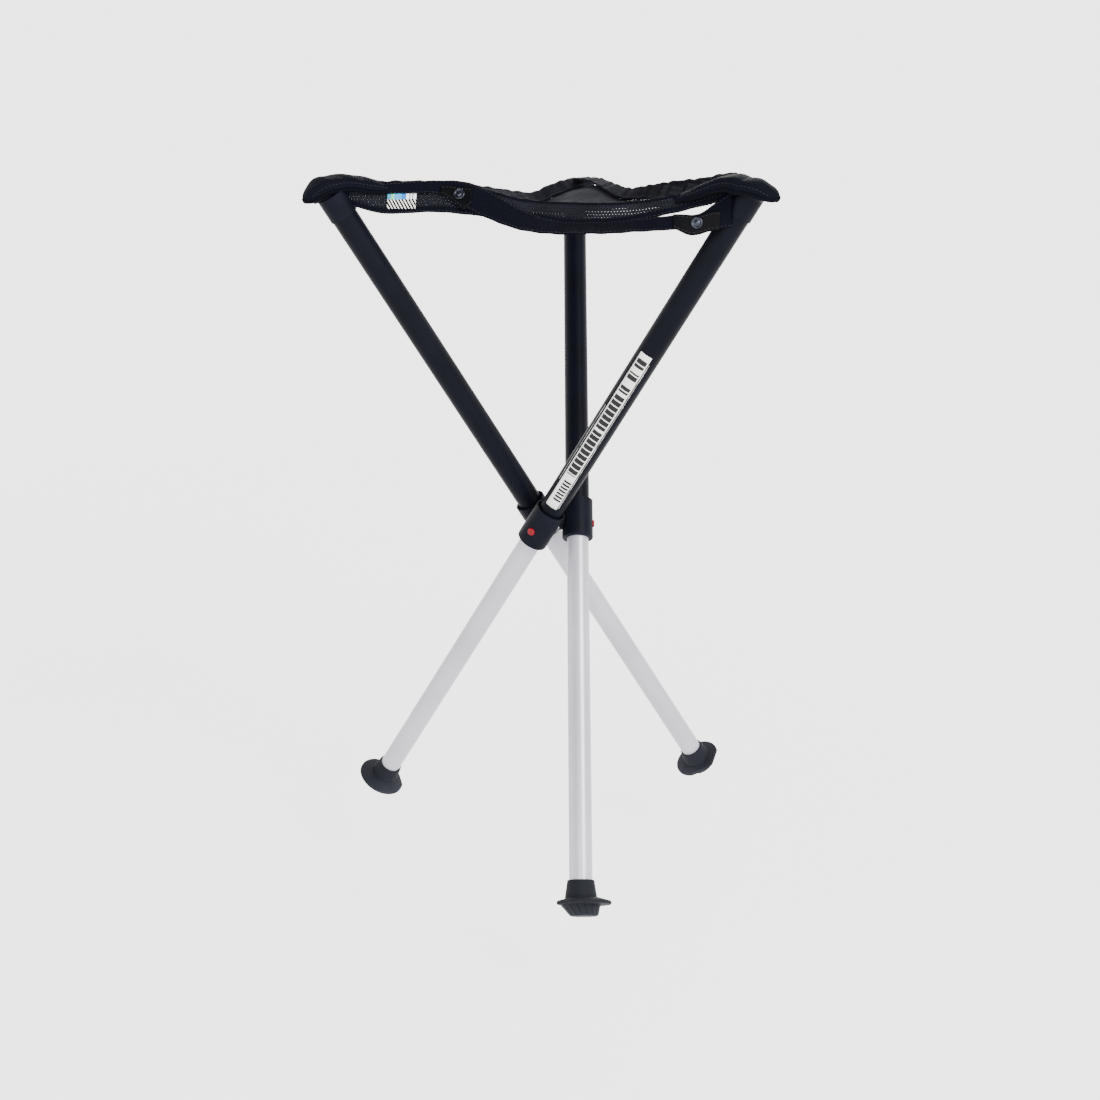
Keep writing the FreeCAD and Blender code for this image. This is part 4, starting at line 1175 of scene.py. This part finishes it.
# The press stud's cap from its foot to its middle: a rolled ring and a domed middle
STUD_LIFT = 1.25
STUD_RADII = (0.0, 5.0, 5.2, 5.2, 4.9, 4.4, 3.8, 3.3, 3.0, 2.6, 2.0, 1.2, 0.5, 0.0)
STUD_HEIGHTS = (0.0, 0.0, 0.2, 0.9, 1.35, 1.6, 1.55, 1.2, 0.75, 0.7, 0.95, 1.25, 1.4, 1.42)
STUD_POINTS = 40
# The woven tag on the flap: shares of the way, drops below the corners, and how far it stands out
TAG_SHARES = (0.150, 0.219)
TAG_DROPS = (7.4, 21.6)
TAG_ROWS = 24
TAG_LIFT = 2.6
TAG_BOW = 0.5
TAG_HALF_THICKNESS = 0.35


def strap_frame(share, part):
    """A spot on the strap's back, the strap's half width and the way out of its face."""
    spot = strap_spot(share, part)
    across = (strap_spot(share, 1.0) - strap_spot(share, 0.0)) / 2
    along = strap_spot(share + STRAP_STEP, part) - strap_spot(share - STRAP_STEP, part)
    out = unit(np.cross(along, across))
    out = out * np.sign(out @ -crease.inward)[..., None]
    return spot, across, out


def front_strap(cloth, seam):
    """The strap across the front: a flat outline carried along its middle line."""
    for leg, first, last in STRAP_HALVES:
        share = np.linspace(first, last, STRAP_ROWS)
        spot, across, out = strap_frame(share, 0.5)
        lift = STRAP_THICKNESS / 2 + STRAP_LIFT + ripple(share, STRAP_RIPPLE)
        path = spot + out * lift[:, None]
        sheaf = Sheaf()
        band(sheaf, path, across, out * (STRAP_THICKNESS / 2), count=28, power=0.3)
        replaces = ("strap",) if leg == 2 else ()
        place(sheaf, "front_strap_" + SIDES[leg], cloth, replaces=replaces)
        lines = Sheaf()
        for part in STRAP_SEAMS:
            row = path + across * part + out * (STRAP_THICKNESS * STITCH_LEVEL)
            stitches(lines, row, out)
        place(lines, "front_strap_stitches_" + SIDES[leg], seam)


def strap_tab(name, rows, hide, seam):
    """A tab at the strap's end: a grid over its share of the way and its width, as thick as coated
    cloth, with its four rims closed and a row of stitches inside two of them."""
    share = np.linspace(rows[0, 0], rows[-1, 0], TAB_ROWS)
    part = np.linspace(0, 1, TAB_COLUMNS)
    upper = smooth(rows, share, 1)
    lower = smooth(rows, share, 2)
    at = upper[:, None] + (lower - upper)[:, None] * part[None]
    spot, across, out = strap_frame(np.broadcast_to(share[:, None], at.shape), at)
    back = spot + out * TAB_LIFT
    front = back + out * TAB_THICKNESS
    middle = (back + front) / 2
    rim = unit(across) * TAB_RIM
    # Once round: out over the front, and back under it
    loop = [middle[:, :1] - rim[:, :1], front, middle[:, -1:] + rim[:, -1:], back[:, ::-1]]
    loop = np.concatenate(loop, axis=1)
    ends = [np.broadcast_to(row.mean(axis=0), row.shape)[None] for row in (loop[0], loop[-1])]
    points = np.concatenate([ends[0], loop, ends[1]])
    along = distances(spot[:, TAB_COLUMNS // 2])
    along = np.concatenate([along[:1], along, along[-1:]])
    round_it = np.linspace(0, TAB_ROUND, loop.shape[1] + 1)
    # A spot on the front tells whether the grid's faces point inwards
    i, j = TAB_ROWS // 4, TAB_COLUMNS // 3
    onward = loop[i + 1, j] - loop[i, j]
    sideways = loop[i, 2 * j] - loop[i, j]
    turns = np.cross(onward, sideways) @ out[i, j]
    sheaf = Sheaf()
    sheaf.grid(points, along, round_it, round_across=True, flip=turns < 0)
    place(sheaf, name, hide, replaces=(name,))
    lines = Sheaf()
    for seam_part in TAB_SEAMS:
        row, _, face = strap_frame(share, upper + (lower - upper) * seam_part)
        stitches(lines, row + face * (TAB_LIFT + TAB_THICKNESS), face)
    place(lines, name + "_stitches", seam)


def press_stud(name, middle, metal):
    """A press stud's cap: a profile turned about the way out of the strap's face."""
    spot, across, out = strap_frame(np.array(middle[0]), np.array(middle[1]))
    spot = spot + out * (TAB_LIFT + STUD_LIFT)
    side = unit(across)
    ahead = np.cross(out, side)
    turn = np.arange(STUD_POINTS) * 2 * math.pi / STUD_POINTS
    ring = side * np.cos(turn)[:, None] + ahead * np.sin(turn)[:, None]
    radii = np.array(STUD_RADII)[:, None, None]
    points = spot + radii * ring[None] + np.array(STUD_HEIGHTS)[:, None, None] * out
    sheaf = Sheaf()
    sheaf.grid(points, np.arange(len(points)), np.arange(STUD_POINTS + 1), round_across=True)
    place(sheaf, name, metal, replaces=(name,))


def tag_on_flap(material):
    """The woven tag: a flat loop sewn on the flap's net near the left corner."""
    share = np.linspace(TAG_SHARES[0], TAG_SHARES[1], TAG_ROWS)
    height = flap_height(share)
    rows = [flap_spot(share, (drop - smooth(CREASE_DROPS, share)) / height) for drop in TAG_DROPS]
    across = (rows[1] - rows[0]) / 2
    out = np.broadcast_to(-crease.inward, across.shape)
    lift = TAG_LIFT + np.sin(np.linspace(0, math.pi, TAG_ROWS)) * TAG_BOW
    path = (rows[0] + rows[1]) / 2 + out * lift[:, None]
    sheaf = Sheaf()
    band(sheaf, path, across, out * TAG_HALF_THICKNESS, power=0.3)
    place(sheaf, "woven_tag", material)


# Corner hoods

# For each leg: how far the hood's nose stands out from the middle of the cap, the heights of the
# nose and of the crown over that middle, how steeply the crown rises inwards, the hood's reach,
# half its width at its inner end, and how far that end lies above the net
HOODS = {
    1: (20.0, 313.0, 327.5, 0.1, 28.0, 11.0, 0.4),
    2: (20.8, 315.5, 334.3, 0.28, 58.0, 25.5, 4.0),
    3: (27.0, 316.0, 331.5, 0.52, 58.0, 25.5, 7.0),
}
# Half the hood's width over the cap
HOOD_WIDTH = 18.0
# How blunt the rise from nose to crown is, and how the hood comes down on the cloth
CROWN_POWER = 1.6
ARRIVAL_SLOPE = -0.3
ARRIVAL_PULL = 0.8
# How deep the sides hang: at the nose, further at the crown, less at the inner end, and further
# again between them
NOSE_DEPTH = 1.0
CROWN_DEPTH = 14.0
END_LOSS = 7.0
MIDDLE_GAIN = 3.0
# Powers that square up the arch, of its sine across and of its cosine down, and that of the depth
ARCH_WIDTH_POWER = 0.7
ARCH_FALL_POWER = 0.5
DEPTH_POWER = 0.7
CAP_ROWS = 26
RUN_ROWS = 33
ARCH_COLUMNS = 49
ARCH_RADIUS = 20.0
HOOD_WALL = 0.0011
RIM_RADIUS = 1.5
END_RIM_RADIUS = 1.2
# Two waves on the hood: height, rate round the arch, and rate along the spine. The first one grows
# over this much of the spine.
SLOW_WAVE = (0.45, 5, 0.05)
QUICK_WAVE = (0.3, 2.2, 0.33)
WAVE_GROWTH = 20.0
# Seams: the columns beside the rims and the row where they start, the row near the inner end with
# the columns left free at its sides, and how far they lie over the cloth
SEAM_COLUMNS = (3, -4)
SEAM_START = 8
END_SEAM_ROW = -4
END_SEAM_FREE = 6
SEAM_LIFT = 0.1


def hood_spine(leg):
    """The hood's middle line in two runs. Over the cap it goes from the nose to the crown, outwards
    by a cosine and up by a power of the sine. Then a cubic curve goes from the crown's slope to the
    slope at the inner end. Returns the line, half the width along it, how near the crown each row
    of the first run is, and how far along the second run each row lies."""
    nose, nose_height, crown, climb, whole, end_width, above = HOODS[leg]
    # Inwards in plan, against the leg's lean
    lean = unit(-leg_axes(leg)[1] * [1, 1, 0])
    flat = unit(corner(leg)[:2])
    quarter = np.linspace(0, math.pi / 2, CAP_ROWS)
    swing = np.sin(quarter)
    rise = nose_height + (crown - nose_height) * swing**CROWN_POWER
    out = lean * (nose * np.cos(quarter))[:, None]
    over = corner(leg) * [1, 1, 0] - out + UP * rise[:, None]
    inner = corner(leg)[:2] - flat * whole
    end = np.array([inner[0], inner[1], cloth_height(inner[0], inner[1]) + above])
    steps = np.linspace(0, 1, RUN_ROWS + 1)[1:, None]
    lead = (lean + UP * climb) * whole
    arrive = np.array([-flat[0], -flat[1], ARRIVAL_SLOPE]) * whole * ARRIVAL_PULL
    run = (
        over[-1] * (2 * steps**3 - 3 * steps**2 + 1)
        + lead * (steps**3 - 2 * steps**2 + steps)
        + end * (3 * steps**2 - 2 * steps**3)
        + arrive * (steps**3 - steps**2)
    )
    widen = HOOD_WIDTH + (end_width - HOOD_WIDTH) * ease(steps[:, 0])
    half = np.concatenate([HOOD_WIDTH * swing, widen])
    near = np.concatenate([swing, np.ones(RUN_ROWS)])
    far = np.concatenate([np.zeros(CAP_ROWS), steps[:, 0]])
    return np.concatenate([over, run]), half, near, far


def hood_wave(wave, i, j):
    """A height times the sine of one rate times the arch's angle plus another times the way."""
    height, round_rate, along_rate = wave
    return height * np.sin(j * round_rate + i * along_rate)


def hood_shell(leg, spine, half, near, far):
    """The hood's cloth: an arch across the spine, whose width is a power of the sine and whose fall
    is one less a power of the cosine. Its sides hang along the leg at the cap and upright beyond,
    and soft waves run in from the cap. Returns the arch's angles and the points."""
    axes = leg_axes(leg)
    flat = unit(corner(leg)[:2])
    square = np.array([-flat[1], flat[0], 0.0])
    square = square * np.sign(square @ axes[0])
    beyond = ease(far)
    depth = NOSE_DEPTH + CROWN_DEPTH * near**DEPTH_POWER
    depth = depth - END_LOSS * beyond + MIDDLE_GAIN * np.sin(far * math.pi) ** 2
    down = unit(-axes[2] * (1 - beyond)[:, None] - UP * beyond[:, None])
    side = unit(axes[0] * (1 - beyond)[:, None] + square * beyond[:, None])
    arch = np.linspace(-math.pi / 2, math.pi / 2, ARCH_COLUMNS)
    wide = np.sign(np.sin(arch)) * np.abs(np.sin(arch)) ** ARCH_WIDTH_POWER
    fall = 1 - np.abs(np.cos(arch)) ** ARCH_FALL_POWER
    points = (
        spine[:, None]
        + side[:, None] * (half[:, None] * wide[None])[..., None]
        + down[:, None] * (depth[:, None] * fall[None])[..., None]
    )
    i = distances(spine)[:, None]
    j = arch[None]
    waves = hood_wave(SLOW_WAVE, i, j) * ease(i / WAVE_GROWTH) + hood_wave(QUICK_WAVE, i, j)
    return arch, points - down[:, None] * (waves * np.cos(arch)[None] ** 0.5)[..., None]


def hood(leg, cloth, seam, edge_cloth):
    """The cloth hood over a cap, with a bound rim and its seams."""
    spine, half, near, far = hood_spine(leg)
    arch, points = hood_shell(leg, spine, half, near, far)
    name = "corner_hood_%d" % leg
    row = len(spine) // 2
    column = ARCH_COLUMNS // 2
    onward = points[row + 1, column] - points[row, column]
    sideways = points[row, column + 1] - points[row, column]
    sheaf = Sheaf()
    flip = np.cross(onward, sideways) @ UP < 0
    sheaf.grid(points, distances(spine), arch * ARCH_RADIUS, flip=flip)
    replaces = ("corner_pocket_%d" % leg, "corner_patch_%d" % leg)
    piece = place(sheaf, name, cloth, replaces=replaces)
    wall = piece.modifiers.new("cloth", "SOLIDIFY")
    wall.thickness = HOOD_WALL
    wall.offset = -1.0
    lip = Sheaf()
    roll(lip, np.concatenate([points[::-1, 0], points[1:, -1]]), RIM_RADIUS)
    roll(lip, points[-1], END_RIM_RADIUS)
    place(lip, name + "_rim", edge_cloth)
    lines = Sheaf()
    for column in SEAM_COLUMNS:
        row = points[SEAM_START:, column]
        lift = row - spine[SEAM_START:]
        stitches(lines, row + unit(lift) * SEAM_LIFT, lift)
    row = points[END_SEAM_ROW, END_SEAM_FREE:-END_SEAM_FREE]
    stitches(lines, row + UP * SEAM_LIFT, np.broadcast_to(UP, row.shape))
    place(lines, name + "_stitches", seam)


# Strip on the third tube

# The film's underside and its face lie this far over the tube
FILM_UNDER = 0.02
FILM_OVER = 0.14
FILM_ROWS = 60
FILM_COLUMNS = 14
# The thin lines beside the strip: name, heights on the tube and angles round it
PINSTRIPES = (
    ("pinstripe_low", (33.0, 206.0), (45.0, 47.0)),
    ("pinstripe_high", (60.0, 150.0), (-33.0, -31.2)),
)


def film_patch(name, heights, angles, material):
    """A thin film on the third tube: a grid over height and angle, just outside the tube."""
    height = np.linspace(heights[0], heights[1], FILM_ROWS)
    angle = np.radians(np.linspace(angles[0], angles[1], FILM_COLUMNS))
    circle = np.stack([np.cos(angle), np.sin(angle), np.zeros_like(angle)], -1)
    outer = circle * (TUBE_RADIUS + FILM_OVER)
    inner = circle * (TUBE_RADIUS + FILM_UNDER)
    loop = np.concatenate([outer, inner[::-1]])
    points = np.broadcast_to(loop, (FILM_ROWS,) + loop.shape).copy()
    points[..., 2] = height[:, None]
    ends = [np.broadcast_to(row.mean(axis=0), row.shape)[None] for row in (points[0], points[-1])]
    points = np.concatenate([ends[0], points, ends[1]])
    along = height - height[0]
    along = np.concatenate([along[:1], along, along[-1:]])
    flat = (angle - angle[0]) * TUBE_RADIUS
    across = np.concatenate([flat, flat[::-1], flat[:1]])
    sheaf = Sheaf()
    sheaf.grid(on_leg(STRIP_LEG, points), along, across, round_across=True, flip=True)
    place(sheaf, name, material, body="leg_%d" % STRIP_LEG)


def tube_strip():
    """The strip and the thin lines printed beside it."""
    film_patch("tube_strip", STRIP_HEIGHTS, STRIP_ANGLES, strip_film())
    lines = pinstripe()
    for name, heights, angles in PINSTRIPES:
        film_patch(name, heights, angles, lines)


# Camera, floor and light

# The photograph's camera: its place in millimetres about the hub, and its own directions
CAMERA_SPOT = (1.7748, -1357.019, 324.575)
CAMERA_RIGHT = (0.999988, 0.002303, -0.004264)
CAMERA_DOWN = (-0.003545, -0.252233, -0.96766)
CAMERA_AHEAD = (-0.003304, 0.967664, -0.252222)
CAMERA_LENS = 45.598
CAMERA_SENSOR = 36.0
# It sees between these distances in metres
CAMERA_CLIP = (0.01, 100.0)
# Soft round lights: name, place, aim, width and power
LIGHTS = (
    ("key", (1.5, -1.7, 2.0), (0, 0, 0.45), 0.9, 130),
    ("fill", (-0.3, -2.4, 1.2), (0, 0, 0.3), 1.2, 40),
    ("back", (0.3, 1.6, 1.9), (0, 0, 0.5), 1.2, 50),
)
WHITE = (1.0, 1.0, 1.0, 1.0)
# Brightness of the sky at the horizon and overhead, and between which slopes it darkens
HORIZON = 3.55
OVERHEAD = 0.7
SKY_START = 0.2
SKY_END = 0.6
# The floor lies this far below the feet in metres, because the folded legs hang lower
FLOOR_DROP = 0.085
FLOOR_RADII = (0.0, 1.0, 3.0, 9.0, 30.0, 90.0)
FLOOR_POINTS = 48
# The floor's own glow as shares of the horizon's, below the stool and this far away in metres
GLOW_NEAR = 0.74
GLOW_FAR = 0.9
GLOW_REACH = 4.0


def make_camera():
    """A camera at the photograph's place and angle."""
    camera = bpy.data.objects.new("camera", bpy.data.cameras.new("camera"))
    camera.data.sensor_width = CAMERA_SENSOR
    camera.data.lens = CAMERA_LENS
    camera.data.clip_start, camera.data.clip_end = CAMERA_CLIP
    up = [-v for v in CAMERA_DOWN]
    back = [-v for v in CAMERA_AHEAD]
    turn = Matrix([CAMERA_RIGHT, up, back]).transposed().to_4x4()
    camera.matrix_world = Matrix.Translation(to_row(CAMERA_SPOT).tolist()) @ turn
    bpy.context.scene.collection.objects.link(camera)
    bpy.context.scene.camera = camera


def make_lights():
    """Discs of soft light, each turned to its aim."""
    for name, spot, aim, width, power in LIGHTS:
        lamp = bpy.data.lights.new(name, "AREA")
        lamp.shape = "DISK"
        lamp.size = width
        lamp.energy = power
        light = bpy.data.objects.new(name, lamp)
        light.location = spot
        way = Vector(aim) - Vector(spot)
        light.rotation_euler = way.to_track_quat("-Z", "Y").to_euler()
        bpy.context.scene.collection.objects.link(light)


def make_floor():
    """A pale disc whose own glow grows a little with the distance."""
    turn = np.arange(FLOOR_POINTS) * 2 * math.pi / FLOOR_POINTS
    radii = np.array(FLOOR_RADII)
    disc = [radii[:, None] * np.cos(turn), radii[:, None] * np.sin(turn), -FLOOR_DROP]
    points = np.stack(np.broadcast_arrays(*disc), -1) * 1000 - hub
    sheaf = Sheaf()
    sheaf.grid(points, radii * 1000, np.append(turn, 2 * math.pi), round_across=True)
    paper = Finish("floor_paint", 150, 1.0, Specular_IOR_Level=0.0)
    size = paper.node("VectorMath", operation="LENGTH")
    paper.links.new(paper.spread(), size.inputs[0])
    low, high = HORIZON * GLOW_NEAR, HORIZON * GLOW_FAR
    kind = {"interpolation_type": "SMOOTHSTEP"}
    glow = paper.spanned(size.outputs["Value"], 0.0, GLOW_REACH, low, high, **kind)
    paper.links.new(glow, paper.shader.inputs["Emission Strength"])
    paper.set("Emission Color", WHITE)
    floor = bpy.data.objects.new("floor", sheaf.mesh("floor", paper.material))
    bpy.context.scene.collection.objects.link(floor)


def make_sky():
    """A sky as pale as the floor at the horizon, and darker overhead."""
    world = bpy.data.worlds.new("studio")
    bpy.context.scene.world = world
    world.use_nodes = True
    sky = world.node_tree.nodes
    links = world.node_tree.links
    split = sky.new("ShaderNodeSeparateXYZ")
    links.new(sky.new("ShaderNodeTexCoord").outputs["Generated"], split.inputs["Vector"])
    rise = sky.new("ShaderNodeMapRange")
    rise.interpolation_type = "SMOOTHSTEP"
    rise.inputs["From Min"].default_value = SKY_START
    rise.inputs["From Max"].default_value = SKY_END
    rise.inputs["To Min"].default_value = HORIZON
    rise.inputs["To Max"].default_value = OVERHEAD
    links.new(split.outputs["Z"], rise.inputs["Value"])
    sky["Background"].inputs["Color"].default_value = WHITE
    links.new(rise.outputs["Result"], sky["Background"].inputs["Strength"])


# Build

make_camera()
make_lights()
make_floor()
make_sky()
cloth = dress_solids()
band_cloth = webbing("webbing", (3, 3, 7), (13, 14, 24), 1.0)
edge_cloth = webbing("edge_webbing", (3, 3, 6), (11, 12, 20), 1.3)
seam = thread()
yarn = net_yarn()
hide = tab_hide()
stud_metal = bare_metal("stud_metal", (22, 23, 28), (52, 54, 62), 0.3)

nets = seat_net(yarn) + flap_net(yarn)
rear_binding("rear_binding_left", left_edge, LEFT_HALVES, "hem_left", band_cloth, seam)
rear_binding("rear_binding_right", right_edge, RIGHT_HALVES, "hem_right", band_cloth, seam)
front_binding(band_cloth, seam)
front_strap(band_cloth, seam)
strap_tab("strap_tab_left", LEFT_TAB, hide, seam)
strap_tab("strap_tab_right", RIGHT_TAB, hide, seam)
press_stud("press_stud_left", LEFT_STUD, stud_metal)
press_stud("press_stud_right", RIGHT_STUD, stud_metal)
tag_on_flap(woven_tag())
for leg in LEGS:
    hood(leg, cloth, seam, edge_cloth)
tube_strip()
